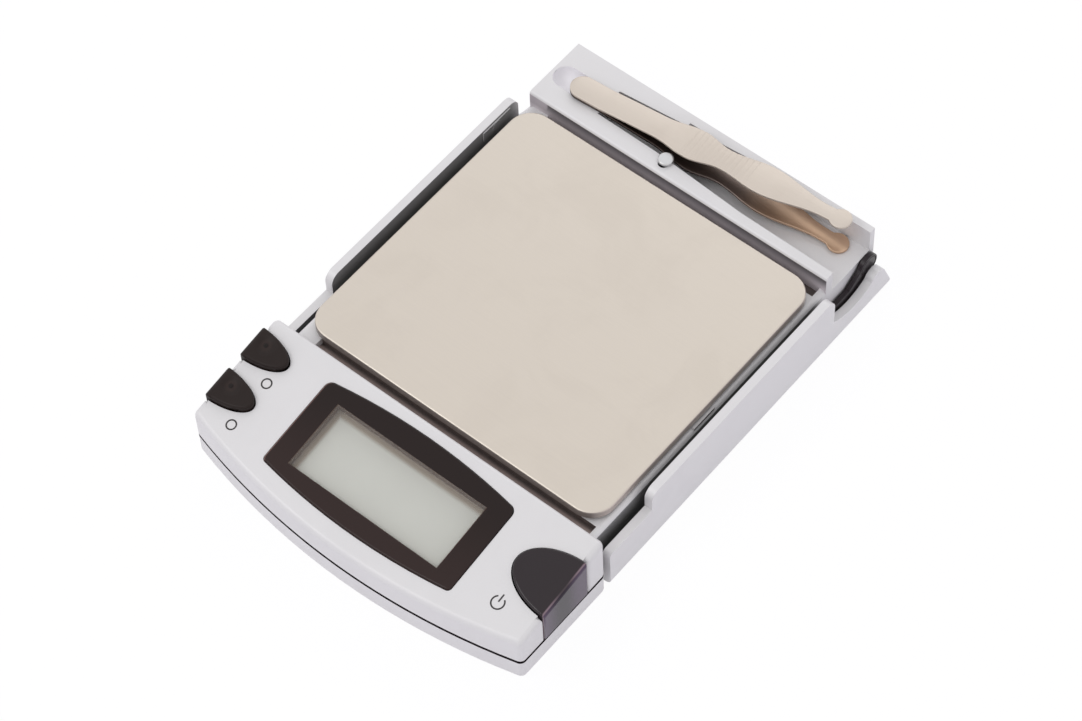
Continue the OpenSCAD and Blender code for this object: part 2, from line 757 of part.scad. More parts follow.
// Push switches under the three keys
module key_switches() {
  top = board_z + board_t;
  spots = [[ctrl_hw - switch_in, power_key_y], [-(ctrl_hw - switch_in), unit_key_y],
    [-(ctrl_hw - switch_in), tare_key_y]];
  color([0.2, 0.2, 0.22]) for (p = spots) translate([p[0], p[1], top]) {
    translate([-2.2, -2.2, 0]) cube([4.4, 4.4, switch_h]);
    translate([0, 0, switch_h - touch]) cylinder(r = 1.1, h = stem_h + touch);
  }
}

module unit_key() {
  color([0.2, 0.18, 0.17]) mirror([1, 0, 0])
    side_key(unit_key_y, small_key_reach, small_key_w, small_key_up);
}

module tare_key() {
  color([0.2, 0.18, 0.17]) mirror([1, 0, 0])
    side_key(tare_key_y, small_key_reach, small_key_w, small_key_up);
}

module power_key() {
  color([0.17, 0.15, 0.15])
    side_key(power_key_y, power_key_reach, power_key_w, power_key_up);
}

// Plan of the plate, with its corners rounded
module plate_plan(inset) {
  hw = plate_w / 2 - inset;
  r = plate_r - inset;
  y0 = plate_y0 + inset;
  y1 = plate_y1 - inset;
  translate([-hw, y0 + r]) square([2 * hw, y1 - y0 - 2 * r]);
  translate([-hw + r, y0]) square([2 * (hw - r), y1 - y0]);
  for (s = [-1, 1], y = [y0 + r, y1 - r]) translate([s * (hw - r), y]) circle(r);
}

// Pressed steel pan with a turned-down rim
module weighing_plate() {
  color([0.83, 0.79, 0.75]) difference() {
    translate([0, 0, plate_z0]) linear_extrude(plate_h) plate_plan(0);
    translate([0, 0, plate_z0 - cut]) linear_extrude(plate_h - plate_t + cut)
      plate_plan(plate_t);
  }
}

module plate_pads() {
  color("dimgray") for (sx = [-1, 1], sy = [-1, 1])
    translate([sx * (carrier_hw - 5), plate_yc + sy * (carrier_hw - 5), carrier_z1])
      cylinder(r = 3.5, h = pad_t);
}

// Spider between the load cell and the plate
module plate_carrier() {
  boss_z = beam_top + plate_travel + 0.05;
  color("white") difference() {
    union() {
      translate([-carrier_hw, plate_yc - carrier_hw, carrier_z1 - carrier_t])
        cube([2 * carrier_hw, 2 * carrier_hw, carrier_t]);
      translate([beam_screw_x - carrier_boss[0] / 2, plate_yc - carrier_boss[1] / 2, boss_z])
        cube([carrier_boss[0], carrier_boss[1], carrier_z1 - boss_z]);
    }
    for (dx = beam_screw_pair) translate([beam_screw_x + dx, plate_yc, 0]) {
      cylinder(r = beam_screw_r, h = far / 4);
      translate([0, 0, carrier_z1 - 1.3]) cylinder(r = head_r + 0.2, h = far / 10);
    }
  }
}

module carrier_screws() {
  color("silver") for (dx = beam_screw_pair)
    translate([beam_screw_x + dx, plate_yc, carrier_z1 - 0.3]) rotate([180, 0, 0])
      screw_up(beam_screw_r, head_r, 1, carrier_z1 - beam_z - 2.3);
}

// Aluminium bending beam, thinned by two bores that a slot joins
module load_cell() {
  color("silver") difference() {
    translate([-cell_beam_len / 2, plate_yc - cell_beam_w / 2, beam_z])
      cube([cell_beam_len, cell_beam_w, cell_beam_h]);
    for (s = [-1, 1])
      translate([s * bore_x, plate_yc - cell_beam_w, beam_z + cell_beam_h / 2])
        rotate([-90, 0, 0]) cylinder(r = cell_bore_r, h = 2 * cell_beam_w);
    translate([-bore_x, plate_yc - cell_beam_w, beam_z + cell_beam_h / 2 - 0.6])
      cube([2 * bore_x, 2 * cell_beam_w, 1.2]);
    for (dx = beam_screw_pair) {
      translate([beam_screw_x + dx, plate_yc, beam_z - cut])
        cylinder(r = beam_screw_r + screw_room, h = cell_beam_h + 2 * cut);
      translate([-beam_screw_x + dx, plate_yc, beam_z - cut])
        cylinder(r = beam_screw_r, h = cell_beam_h);
    }
  }
}

module load_cell_screws() {
  color("silver") for (dx = beam_screw_pair)
    translate([dx - beam_screw_x, plate_yc, body_z0 + 0.05])
      screw_up(beam_screw_r, head_r, 0.85, beam_z - body_z0 + cell_beam_h - 2.2);
}

module strain_gauges() {
  color("orange") for (s = [-1, 1], z = [beam_z - gauge[2], beam_top])
    translate([s * bore_x - gauge[0] / 2, plate_yc - gauge[1] / 2, z]) cube(gauge);
}

// Flat flexible lead from the load cell to the board
module gauge_ribbon() {
  color("peru") translate([-ribbon_x, board_y1 - ribbon_lap, board_z - ribbon_t])
    cube([ribbon_w, plate_yc - cell_beam_w / 2 - board_y1 + ribbon_lap, ribbon_t]);
}

// Flap that tilts out on two stubs at its rear edge, with finger ribs at its front edge
module battery_door() {
  color("gainsboro") difference() {
    union() {
      translate([-door_hw, door_y0, door_z0])
        cube([door_w, door_axis[0] - door_y0, door_t]);
      translate([-door_hw, door_axis[0], door_axis[1]]) rotate([0, 90, 0])
        cylinder(r = door_t / 2, h = door_w);
      translate([-door_hw - door_stub, door_axis[0], door_axis[1]]) rotate([0, 90, 0])
        cylinder(r = door_stub_r, h = door_w + 2 * door_stub);
    }
    for (i = [0 : 4])
      translate([-door_rib_w / 2, door_y0 + (i + 1.25) * door_rib_pitch, door_z0 - cut])
        cube([door_rib_w, door_rib_pitch / 2, 0.35 + cut]);
  }
}

// Frame that holds the two coin cells
module battery_holder() {
  color([0.3, 0.3, 0.32]) difference() {
    intersection() {
      translate([-holder_hw, bay_y - cell_d / 2 - 0.9, cell_z + 0.05])
        cube([2 * holder_hw, cell_d + 1.8, holder_h]);
      linear_extrude(far / 10) control_plan(wall + 0.3);
    }
    for (s = [-1, 1]) translate([s * cell_x, bay_y, 0])
      cylinder(r = cell_d / 2 + 0.15, h = far / 10);
  }
}

module coin_cells() {
  color("silver") for (s = [-1, 1]) translate([s * cell_x, bay_y, cell_z]) {
    cylinder(r = cell_d / 2 - 1.5, h = cell_h);
    translate([0, 0, 0.3]) cylinder(r = cell_d / 2, h = cell_h - 0.3);
  }
}

// Spring strips between the cells and the board
module battery_contacts() {
  low = cell_z + cell_h + 0.05;
  color("gold") for (s = [-1, 1])
    translate([s * cell_x - contact_w / 2, bay_y - contact_len / 2, low]) {
      cube([contact_w, contact_len, contact_t]);
      cube([contact_w, contact_t, board_z - low]);
    }
}

// Side of the cover: low front end, tall middle, cut-down hinge end with a round lobe
module cover_profile() {
  y1 = y_rear - cover_cut_len;
  y0 = y_cover + cover_low_len;
  r = 2.2;
  lobe_r = 2.2;
  lobe = [y_rear - 4.2, cover_lobe_h - lobe_r];
  lean = 22.3;
  dip_r = 11;
  translate([y_cover, 0]) square([cover_low_len + 2 * r, cover_low_h - 1]);
  translate([y_cover + 1, 0]) square([cover_low_len + r, cover_low_h]);
  translate([y_cover + 1, cover_low_h - 1]) circle(1);
  translate([y0, 0]) square([y1 - y0, cover_wall_h - r]);
  translate([y0 + r, 0]) square([y1 - y0 - 2 * r, cover_wall_h]);
  for (y = [y0 + r, y1 - r]) translate([y, cover_wall_h - r]) circle(r);
  difference() {
    translate([y1 - r, 0]) square([lobe[0] - y1 + r, cover_lobe_h]);
    translate([y1 + 6.4, 5.6 + dip_r]) circle(dip_r);
  }
  translate(lobe) circle(lobe_r);
  polygon([[lobe[0], cover_edge_r], lobe, lobe + lobe_r * [cos(lean), sin(lean)],
    [y_rear, cover_edge_r + 0.3], [y_rear, cover_edge_r]]);
  translate([y1, 0]) square([cover_cut_len - cover_edge_r, cover_floor]);
  translate([y_rear - cover_edge_r, cover_edge_r]) circle(cover_edge_r);
}

// Channel with rounded bottom edges, trimmed to the side profile
module folding_cover() {
  color("gainsboro") difference() {
    intersection() {
      along_y(y_cover, y_rear) cover_section();
      along_x(-ctrl_hw, ctrl_hw) cover_profile();
    }
    for (s = [-1, 1]) translate([s > 0 ? cover_in - cut : -cover_in - pin_bite, pivot_c[0],
        pivot_c[1]]) rotate([0, 90, 0]) cylinder(r = pin_r, h = pin_bite + cut);
    for (s = [-1, 1]) translate([s * (body_hw + 0.15) - 0.8, y_rear - 2.4, -cut])
      cube([1.6, 1.1, cover_floor + 2 * cut]);
  }
  color("gainsboro") for (s = [-1, 1]) {
    translate([s > 0 ? cover_in - 0.2 : -cover_in - touch, y_rear - cover_cut_len - 10.5, 12])
      cube([0.2 + touch, 8, 2.4]);
    translate([s > 0 ? cover_in - 0.25 : -cover_in - touch, y_rear - cover_cut_len - 6.6, 13.1])
      rotate([0, 90, 0]) cylinder(r = 1.25, h = 0.25 + touch);
    translate([s > 0 ? cover_in - 0.2 : -cover_in - touch, y_cover + 3, 7.2])
      cube([0.2 + touch, 6.5, 0.9]);
  }
}

module cover_section() {
  r = cover_edge_r;
  difference() {
    union() {
      translate([-ctrl_hw + r, 0]) square([cover_w - 2 * r, cover_wall_h]);
      translate([-ctrl_hw, r]) square([cover_w, cover_wall_h - r]);
      for (s = [-1, 1]) translate([s * (ctrl_hw - r), r]) circle(r);
    }
    translate([-cover_in, cover_floor]) square([2 * cover_in, cover_wall_h]);
  }
}

// Outline of an arm, seen from the side
module arm_profile() {
  strip(pivot_c, arm_knee, arm_w);
  strip(arm_knee, pivot_b, arm_w);
  translate(arm_knee) circle(arm_w / 2 + 0.1);
  translate(pivot_b) circle(arm_eye_r);
  translate(pivot_c) circle(arm_eye_r - 0.1);
}

// The right arm; both eyes are counterbored for the pin heads
module swing_arm() {
  hole = pin_r + pin_clear;
  sink = head_r + 0.1;
  color([0.1, 0.1, 0.11]) difference() {
    along_x(arm_x0, arm_x1) arm_profile();
    for (p = [pivot_b, pivot_c]) translate([arm_x0 - cut, p[0], p[1]]) rotate([0, 90, 0])
      cylinder(r = hole, h = arm_t + 2 * cut);
    translate([arm_x1 - head_t - 0.1, pivot_b[0], pivot_b[1]]) rotate([0, 90, 0])
      cylinder(r = sink, h = arm_t);
    translate([arm_x0 - cut, pivot_c[0], pivot_c[1]]) rotate([0, 90, 0])
      cylinder(r = sink, h = cut + head_t + 0.1);
  }
}

module swing_arm_right() {
  swing_arm();
}

module swing_arm_left() {
  mirror([1, 0, 0]) swing_arm();
}

// Pins fixed in the rear block, with a shoulder behind the arm and a head let into it
module arm_pins() {
  color("gray") for (m = [0, 1]) mirror([m, 0, 0])
    translate([body_hw, pivot_b[0], pivot_b[1]]) rotate([0, 90, 0]) {
      translate([0, 0, -pin_seat]) cylinder(r = pin_r, h = pin_seat + arm_x1 - body_hw);
      cylinder(r = shoulder_r, h = arm_x0 - body_hw - 0.05);
      translate([0, 0, arm_x1 - body_hw - head_t]) cylinder(r = head_r, h = head_t);
    }
}

// Pins fixed in the cover walls
module cover_pins() {
  color("gray") for (m = [0, 1]) mirror([m, 0, 0])
    translate([arm_x0, pivot_c[0], pivot_c[1]]) rotate([0, 90, 0]) {
      cylinder(r = pin_r, h = cover_in + pin_bite - arm_x0);
      cylinder(r = head_r, h = head_t);
      translate([0, 0, arm_t + 0.05]) cylinder(r = shoulder_r, h = cover_in - arm_x1 - 0.05);
    }
}

// Eased value between two stations of a list, each a distance and a value
function eased(a, b, s) = a[1] + (b[1] - a[1]) * (1 - cos(180 * (s - a[0]) / (b[0] - a[0]))) / 2;
function along(list, s, i = 0) =
  i >= len(list) - 2 || s <= list[i + 1][0] ? eased(list[i], list[i + 1], s)
  : along(list, s, i + 1);

// Half the width of a leg at a distance from the joined end
function leg_half(s) =
  s < leg_w / 2 ? sqrt(max(0, pow(leg_w / 2, 2) - pow(leg_w / 2 - s, 2)))
  : along(leg_stations, s);

// Half the gap between the legs, which spring apart from the weld
function leg_gap(s) = s < weld_len ? 0
  : tip_gap / 2 * pow((s - weld_len) / (tip_s - weld_len), 0.88);

// Leg seen from above: grip, waist, belly, neck and round tip
module leg_plan() {
  steps = [for (s = [0, 0.3, 0.9, 1.7, for (i = [leg_w / 2 : 1.2 : tip_s]) i]) s];
  polygon(concat([for (s = steps) [s, -leg_half(s)]],
    [for (i = [len(steps) - 1 : -1 : 0]) [steps[i], leg_half(steps[i])]]));
  translate([tip_s, 0]) circle(tip_r);
}

// Leg seen from the side
module leg_side() {
  steps = [for (s = [-1, for (i = [0 : 2 : weld_len - 1]) i,
    for (i = [weld_len : 3 : tweezers_len + 3]) i]) s];
  polygon(concat([for (s = steps) [s, leg_gap(s)]],
    [for (i = [len(steps) - 1 : -1 : 0]) [steps[i], leg_gap(steps[i]) + leg_t]]));
}

// A leg in its own frame, with its inner face at the joined end on Z = 0
module tweezers_leg() {
  intersection() {
    linear_extrude(far / 10) leg_plan();
    translate([0, leg_w, 0]) rotate([90, 0, 0]) linear_extrude(2 * leg_w) leg_side();
  }
}

// Puts the tweezers in their recess, tips towards the power key side
module place_tweezers() {
  translate([tweezers_x, tweezers_y, join_z]) rotate([0, 0, tweezers_yaw])
    rotate([0, tweezers_pitch, 0]) children();
}

module tweezers_upper_leg() {
  color([0.83, 0.79, 0.74]) place_tweezers() tweezers_leg();
}

module tweezers_lower_leg() {
  color([0.76, 0.66, 0.57]) place_tweezers() mirror([0, 0, 1]) tweezers_leg();
}

// Round-headed stud on the rib that keeps the tweezers from rolling out
catch_x = recess_x0 + 27.6;
catch_y = block_y0 + 3.15;
module tweezers_catch() {
  color("whitesmoke") {
    translate([catch_x, catch_y, block_z]) cylinder(r = 1.55, h = 0.9);
    translate([catch_x, catch_y - 0.7, block_z - 2.5]) cylinder(r = 0.8, h = 2.6);
  }
}

lower_shell();
upper_shell();
rear_block();
case_screws();
display_bezel();
display_window();
lcd_panel();
lcd_holder();
lcd_connector();
circuit_board();
board_parts();
board_screws();
key_switches();
unit_key();
tare_key();
power_key();
weighing_plate();
plate_pads();
plate_carrier();
carrier_screws();
load_cell();
load_cell_screws();
strain_gauges();
gauge_ribbon();
battery_door();
battery_holder();
coin_cells();
battery_contacts();
folding_cover();
swing_arm_left();
swing_arm_right();
arm_pins();
cover_pins();
tweezers_lower_leg();
tweezers_upper_leg();
tweezers_catch();
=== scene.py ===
"""Looks of the pocket scale: finishes and fine shapes over its fixed frame."""

import json
import math

import bmesh
import bpy
from bpy.props import FloatProperty, FloatVectorProperty, PointerProperty
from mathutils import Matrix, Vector

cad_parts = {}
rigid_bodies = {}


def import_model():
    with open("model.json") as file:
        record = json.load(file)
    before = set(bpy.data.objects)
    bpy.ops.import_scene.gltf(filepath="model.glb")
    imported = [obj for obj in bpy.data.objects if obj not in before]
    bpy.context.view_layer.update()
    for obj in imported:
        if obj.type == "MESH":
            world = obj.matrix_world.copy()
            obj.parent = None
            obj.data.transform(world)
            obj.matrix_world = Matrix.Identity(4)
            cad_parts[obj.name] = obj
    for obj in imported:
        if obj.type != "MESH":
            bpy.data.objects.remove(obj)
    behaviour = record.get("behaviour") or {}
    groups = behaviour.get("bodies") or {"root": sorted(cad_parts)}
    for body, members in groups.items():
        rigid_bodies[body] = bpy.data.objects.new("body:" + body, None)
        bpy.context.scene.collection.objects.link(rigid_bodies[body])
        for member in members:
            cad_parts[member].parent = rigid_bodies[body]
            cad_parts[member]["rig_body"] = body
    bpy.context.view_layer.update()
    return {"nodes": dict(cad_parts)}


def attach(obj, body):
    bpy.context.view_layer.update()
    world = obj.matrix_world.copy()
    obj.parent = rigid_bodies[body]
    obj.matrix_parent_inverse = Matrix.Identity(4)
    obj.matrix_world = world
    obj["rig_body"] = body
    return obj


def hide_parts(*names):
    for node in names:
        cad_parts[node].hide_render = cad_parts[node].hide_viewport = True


bl_info = {
    "name": "Pocket Scale Finish",
    "version": (1, 0, 0),
    "blender": (4, 5, 0),
    "location": "View3D > Sidebar > Pocket Scale",
    "description": "Dresses a pocket scale with its paint, steel, keys, display and tweezers",
    "category": "Object",
}

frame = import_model()
MM = 0.001
CLOSE = 0.001 * MM

# Places on the scale, in the shared frame
SEAM = (5.08 * MM, 5.9 * MM)
FRONT_Y = -57.2 * MM
FRONT_BOW = 5.3 * MM
FRONT_HALF = 39.0 * MM
PANEL_REAR = -28.4 * MM
PANEL_TILT = math.radians(10.33)
PANEL_HEIGHTS = (10.5 * MM, 15 * MM)
KEY_NOTCH_X = 35 * MM
KEY_SIDE_X = 39 * MM
POWER_KEY_Y = -39.7 * MM
PIPS = ((-36.0 * MM, -34.6 * MM, 0), (-36.0 * MM, -44.4 * MM, 0))
DISPLAY_X = -17.3 * MM
DISPLAY_REAR = -35.7 * MM
WINDOW_HALF = 17.6 * MM
WINDOW_Y = (-49.5 * MM, -35.3 * MM)
BODY_SIDES = (35.2 * MM, 36 * MM)
COVER_INSIDE = 37.6 * MM
TRENCH_Y = (-26.1 * MM, -25.3 * MM)
TRENCH_HEIGHTS = (10.9 * MM, 11.1 * MM, 12.7 * MM)
BLOCK_FRONT = 40.8 * MM
SCOOP_Y = 47.95 * MM
SCOOP_REACH = 2.75 * MM
SCOOP_BOTTOM = 13.9 * MM

# The panel's rear edge as (Y, Z) and the floor of the tweezers recess, in millimetres
PANEL_FOLD = (-29.3, 16.4)
RECESS_FLOOR = 11.02

# Which finish each piece of the scale wears
FINISH_OF = {
    "lower_shell": "silver_case",
    "upper_shell": "silver_case",
    "rear_block": "silver_case",
    "case_screws": "plated_steel",
    "display_bezel": "bezel_gloss",
    "display_window": "clear_pane",
    "lcd_panel": "lcd",
    "lcd_holder": "inner_plastic",
    "lcd_connector": "conductive_rubber",
    "circuit_board": "board",
    "board_parts": "components",
    "board_screws": "plated_steel",
    "key_switches": "components",
    "unit_key": "key_plastic",
    "tare_key": "key_plastic",
    "power_key": "key_gloss",
    "weighing_plate": "plate_steel",
    "plate_pads": "pad_rubber",
    "plate_carrier": "inner_plastic",
    "carrier_screws": "plated_steel",
    "load_cell": "beam",
    "load_cell_screws": "plated_steel",
    "strain_gauges": "foil",
    "gauge_ribbon": "foil",
    "battery_door": "silver_case",
    "battery_holder": "holder_plastic",
    "coin_cells": "plated_steel",
    "battery_contacts": "spring_brass",
    "folding_cover": "silver_case",
    "swing_arm_left": "arm_black",
    "swing_arm_right": "arm_black",
    "arm_pins": "arm_black",
    "cover_pins": "arm_black",
    "tweezers_lower_leg": "tweezers_steel",
    "tweezers_upper_leg": "tweezers_steel",
    "tweezers_catch": "plated_steel",
}


# Properties


def colour(name, description, default):
    return FloatVectorProperty(
        name=name, description=description, subtype="COLOR", size=3, min=0, max=1, default=default
    )


class ScaleFinish(bpy.types.PropertyGroup):
    """Colours and edge roundings of the scale."""

    silver: colour("Silver Paint", "Colour of the case and the cover", (0.765, 0.757, 0.762))
    plate: colour("Plate Steel", "Colour of the weighing plate", (0.633, 0.576, 0.513))
    tweezers: colour("Tweezers Steel", "Colour of the upper leg", (0.615, 0.553, 0.495))
    # The lower leg's copper colour is a painted reflection
    copper: colour("Warm Inner Face", "Colour of the lower leg", (0.62, 0.43, 0.3))
    keys: colour("Keys", "Colour of the three keys", (0.018, 0.011, 0.0095))
    bezel: colour("Bezel", "Colour of the display frame", (0.017, 0.0095, 0.0085))
    lcd: colour("Display", "Colour of the blank display", (0.649, 0.68, 0.63))
    arms: colour("Arms", "Colour of the swing arms", (0.02, 0.014, 0.017))
    case_edge: FloatProperty(
        name="Case Edge",
        description="Rounding of the edges of the case",
        default=0.35 * MM,
        min=0,
        max=1 * MM,
        unit="LENGTH",
    )
    panel_edge: FloatProperty(
        name="Panel Edge",
        description="Rounding of the outer edge of the control panel",
        default=1.1 * MM,
        min=0,
        max=1.2 * MM,
        unit="LENGTH",
    )
    key_edge: FloatProperty(
        name="Key Edge",
        description="Rounding of the edges of the keys",
        default=0.9 * MM,
        min=0,
        max=1.1 * MM,
        unit="LENGTH",
    )


class TweezersShape(bpy.types.PropertyGroup):
    """Sizes of the tweezers that the scene adds."""

    rib_depth: FloatProperty(
        name="Rib Depth",
        description="Depth of the grooves between the grip's ribs",
        default=0.09 * MM,
        min=0,
        max=0.25 * MM,
        unit="LENGTH",
    )
    rib_pitch: FloatProperty(
        name="Rib Pitch",
        description="Distance from rib to rib",
        default=1.15 * MM,
        min=0.6 * MM,
        max=2 * MM,
        unit="LENGTH",
    )


# Shader helpers


class Net:
    """A node tree with short calls for adding and joining nodes."""

    def __init__(self, tree):
        self.tree = tree
        self.x = 0

    def add(self, kind, values=None, **settings):
        node = self.tree.nodes.new(kind)
        self.x += 180
        node.location = (self.x, 0)
        for key, value in settings.items():
            setattr(node, key, value)
        for key, value in (values or {}).items():
            node.inputs[key].default_value = value
        return node

    def join(self, source, target):
        self.tree.links.new(source, target)

    def math(self, operation, a, b=None, clamp=False):
        node = self.add("ShaderNodeMath", operation=operation, use_clamp=clamp)
        for i, item in enumerate((a, b)):
            if item is None:
                continue
            if isinstance(item, (int, float)):
                node.inputs[i].default_value = item
            else:
                self.join(item, node.inputs[i])
        return node.outputs[0]

    def remap(self, value, low, high, to_low, to_high):
        node = self.add("ShaderNodeMapRange", interpolation_type="SMOOTHSTEP")
        self.join(value, node.inputs["Value"])
        for key, number in (
            ("From Min", low),
            ("From Max", high),
            ("To Min", to_low),
            ("To Max", to_high),
        ):
            node.inputs[key].default_value = number
        return node.outputs["Result"]


def effect(name, inputs, outputs):
    """Starts a shader node group and returns its net, its inputs and its outputs."""
    tree = bpy.data.node_groups.new(name, "ShaderNodeTree")
    for label, kind, default in inputs:
        socket = tree.interface.new_socket(label, in_out="INPUT", socket_type=kind)
        socket.default_value = default
    for label, kind in outputs:
        tree.interface.new_socket(label, in_out="OUTPUT", socket_type=kind)
    net = Net(tree)
    return net, net.add("NodeGroupInput").outputs, net.add("NodeGroupOutput").inputs


def speckle_effect():
    """Fine flakes of silver paint: a tint near 1 and a height."""
    net, given, out = effect(
        "Paint Speckle",
        [("Size", "NodeSocketFloat", 5200.0), ("Tint Range", "NodeSocketFloat", 0.05)],
        [("Tint", "NodeSocketFloat"), ("Height", "NodeSocketFloat")],
    )
    place = net.add("ShaderNodeTexCoord")
    fine = net.add("ShaderNodeTexNoise", {"Detail": 3.0, "Roughness": 0.6})
    net.join(place.outputs["Object"], fine.inputs["Vector"])
    net.join(given["Size"], fine.inputs["Scale"])
    swing = net.math("SUBTRACT", fine.outputs["Fac"], 0.5)
    swing = net.math("MULTIPLY", swing, given["Tint Range"])
    net.join(net.math("ADD", swing, 1.0), out["Tint"])
    net.join(fine.outputs["Fac"], out["Height"])
    return net.tree


def brushed_effect():
    """Brushed steel: long fine lines, as a tint near 1 and a height."""
    net, given, out = effect(
        "Brushed Lines",
        [
            ("Stretch", "NodeSocketVector", (60.0, 2600.0, 2600.0)),
            ("Tint Range", "NodeSocketFloat", 0.08),
        ],
        [("Tint", "NodeSocketFloat"), ("Height", "NodeSocketFloat")],
    )
    place = net.add("ShaderNodeTexCoord")
    spread = net.add("ShaderNodeVectorMath", operation="MULTIPLY")
    net.join(place.outputs["Object"], spread.inputs[0])
    net.join(given["Stretch"], spread.inputs[1])
    lines = net.add("ShaderNodeTexNoise", {"Scale": 1.0, "Detail": 4.0, "Roughness": 0.65})
    net.join(spread.outputs[0], lines.inputs["Vector"])
    swing = net.math("SUBTRACT", lines.outputs["Fac"], 0.5)
    swing = net.math("MULTIPLY", swing, given["Tint Range"])
    net.join(net.math("ADD", swing, 1.0), out["Tint"])
    net.join(lines.outputs["Fac"], out["Height"])
    return net.tree


def smudge_effect():
    """Faint finger marks: large soft patches that shift the gloss and the tint."""
    net, given, out = effect(
        "Finger Smudges",
        [("Size", "NodeSocketFloat", 55.0), ("Amount", "NodeSocketFloat", 0.1)],
        [("Tint", "NodeSocketFloat"), ("Gloss Shift", "NodeSocketFloat")],
    )
    place = net.add("ShaderNodeTexCoord")
    patch = net.add("ShaderNodeTexNoise", {"Detail": 5.0, "Roughness": 0.55, "Distortion": 0.8})
    net.join(place.outputs["Object"], patch.inputs["Vector"])
    net.join(given["Size"], patch.inputs["Scale"])
    mask = net.remap(patch.outputs["Fac"], 0.42, 0.68, 0.0, 1.0)
    shift = net.math("MULTIPLY", mask, given["Amount"])
    net.join(shift, out["Gloss Shift"])
    net.join(net.math("SUBTRACT", 1.0, net.math("MULTIPLY", shift, 0.35)), out["Tint"])
    return net.tree


def get_effect(name):
    makers = {
        "Paint Speckle": speckle_effect,
        "Brushed Lines": brushed_effect,
        "Finger Smudges": smudge_effect,
    }
    return bpy.data.node_groups.get(name) or makers[name]()


def place_effect(net, name, values):
    node = net.add("ShaderNodeGroup", node_tree=get_effect(name))
    for key, value in values.items():
        node.inputs[key].default_value = value
    return node


def tinted(net, rgb, *tints):
    """The colour, made lighter and darker by tints near 1; rgb may be a function of the net."""
    factor = tints[0]
    for more in tints[1:]:
        factor = net.math("MULTIPLY", factor, more)
    scaled = net.add("ShaderNodeVectorMath", operation="SCALE")
    if callable(rgb):
        net.join(rgb(net), scaled.inputs[0])
    else:
        scaled.inputs[0].default_value = rgb
    net.join(factor, scaled.inputs["Scale"])
    return scaled.outputs[0]


def blended(share, first, last, rgb):
    """A function of the net that blends between two multiples of a colour."""

    def tone(net):
        ramp = net.add("ShaderNodeValToRGB")
        for end, scale in zip(ramp.color_ramp.elements, (first, last)):
            end.color = (*(part * value for part, value in zip(scale, rgb)), 1)
        net.join(share, ramp.inputs["Fac"])
        return ramp.outputs["Color"]

    return tone


def start_material(name, **constants):
    """A material with only its Principled node and output; the constants go on the node."""
    material = bpy.data.materials.new("scale_" + name)
    material.use_nodes = True
    net = Net(material.node_tree)
    shader = material.node_tree.nodes["Principled BSDF"]
    for key, value in constants.items():
        shader.inputs[key.replace("_", " ")].default_value = value
    return material, net, shader


def bump(net, shader, height, distance):
    node = net.add("ShaderNodeBump", {"Distance": distance, "Strength": 1.0})
    net.join(height, node.inputs["Height"])
    net.join(node.outputs["Normal"], shader.inputs["Normal"])


def roughened(net, shader, base, shift):
    net.join(net.math("ADD", shift, base), shader.inputs["Roughness"])


def position_along(net, axis):
    """The place on the piece along one axis, in metres of the shared frame at rest."""
    place = net.add("ShaderNodeTexCoord")
    parts = net.add("ShaderNodeSeparateXYZ")
    net.join(place.outputs["Object"], parts.inputs[0])
    return parts.outputs[axis]


def facing_along(net, axis):
    """How far the surface faces along one axis, from -1 to 1."""
    shape = net.add("ShaderNodeNewGeometry")
    parts = net.add("ShaderNodeSeparateXYZ")
    net.join(shape.outputs["Normal"], parts.inputs[0])
    return parts.outputs[axis]


def band(net, value, rise, fall, peak=1.0):
    """Rises from 0 to a peak along a value, and falls back to 0."""
    up = net.remap(value, *rise, 0.0, peak)
    return net.math("MULTIPLY", up, net.remap(value, *fall, 1.0, 0.0))


# Finishes


def painted(name, rgb, metallic=0.15, rough=0.46, shade=None):
    """Satin silver paint on moulded plastic; shade is a factor on its colour that paints light
    and shade into it.
    """
    material, net, shader = start_material(
        name, Metallic=metallic, Coat_Weight=0.04, Coat_Roughness=0.25
    )
    flakes = place_effect(net, "Paint Speckle", {"Tint Range": 0.05})
    marks = place_effect(net, "Finger Smudges", {"Size": 70.0, "Amount": 0.05})
    tints = [flakes.outputs["Tint"], marks.outputs["Tint"]] + ([shade(net)] if shade else [])
    net.join(tinted(net, rgb, *tints), shader.inputs["Base Color"])
    roughened(net, shader, rough, marks.outputs["Gloss Shift"])
    bump(net, shader, flakes.outputs["Height"], 0.006 * MM)
    return material


def moulded(name, rgb, rough, grain=0.02 * MM, size=2600.0, specular=0.5, coat=0.0, shade=None):
    """Moulded plastic or rubber with a fine grain; shade is a factor on its colour that paints
    light and shade into it.
    """
    material, net, shader = start_material(
        name, Specular_IOR_Level=specular, Coat_Weight=coat, Coat_Roughness=0.06
    )
    flakes = place_effect(net, "Paint Speckle", {"Size": size, "Tint Range": 0.14})
    marks = place_effect(net, "Finger Smudges", {"Size": 90.0, "Amount": 0.07})
    tints = [flakes.outputs["Tint"], marks.outputs["Tint"]] + ([shade(net)] if shade else [])
    net.join(tinted(net, rgb, *tints), shader.inputs["Base Color"])
    roughened(net, shader, rough, marks.outputs["Gloss Shift"])
    bump(net, shader, flakes.outputs["Height"], grain)
    return material


def steel(name, rgb, rough, stretch, tint_range=0.08, line=0.004 * MM):
    """Brushed steel with lines along the short component of stretch."""
    material, net, shader = start_material(name, Metallic=1.0)
    lines = place_effect(net, "Brushed Lines", {"Stretch": stretch, "Tint Range": tint_range})
    marks = place_effect(net, "Finger Smudges", {"Size": 60.0, "Amount": 0.06})
    tint = tinted(net, rgb, lines.outputs["Tint"], marks.outputs["Tint"])
    net.join(tint, shader.inputs["Base Color"])
    roughened(net, shader, rough, marks.outputs["Gloss Shift"])
    bump(net, shader, lines.outputs["Height"], line)
    return material


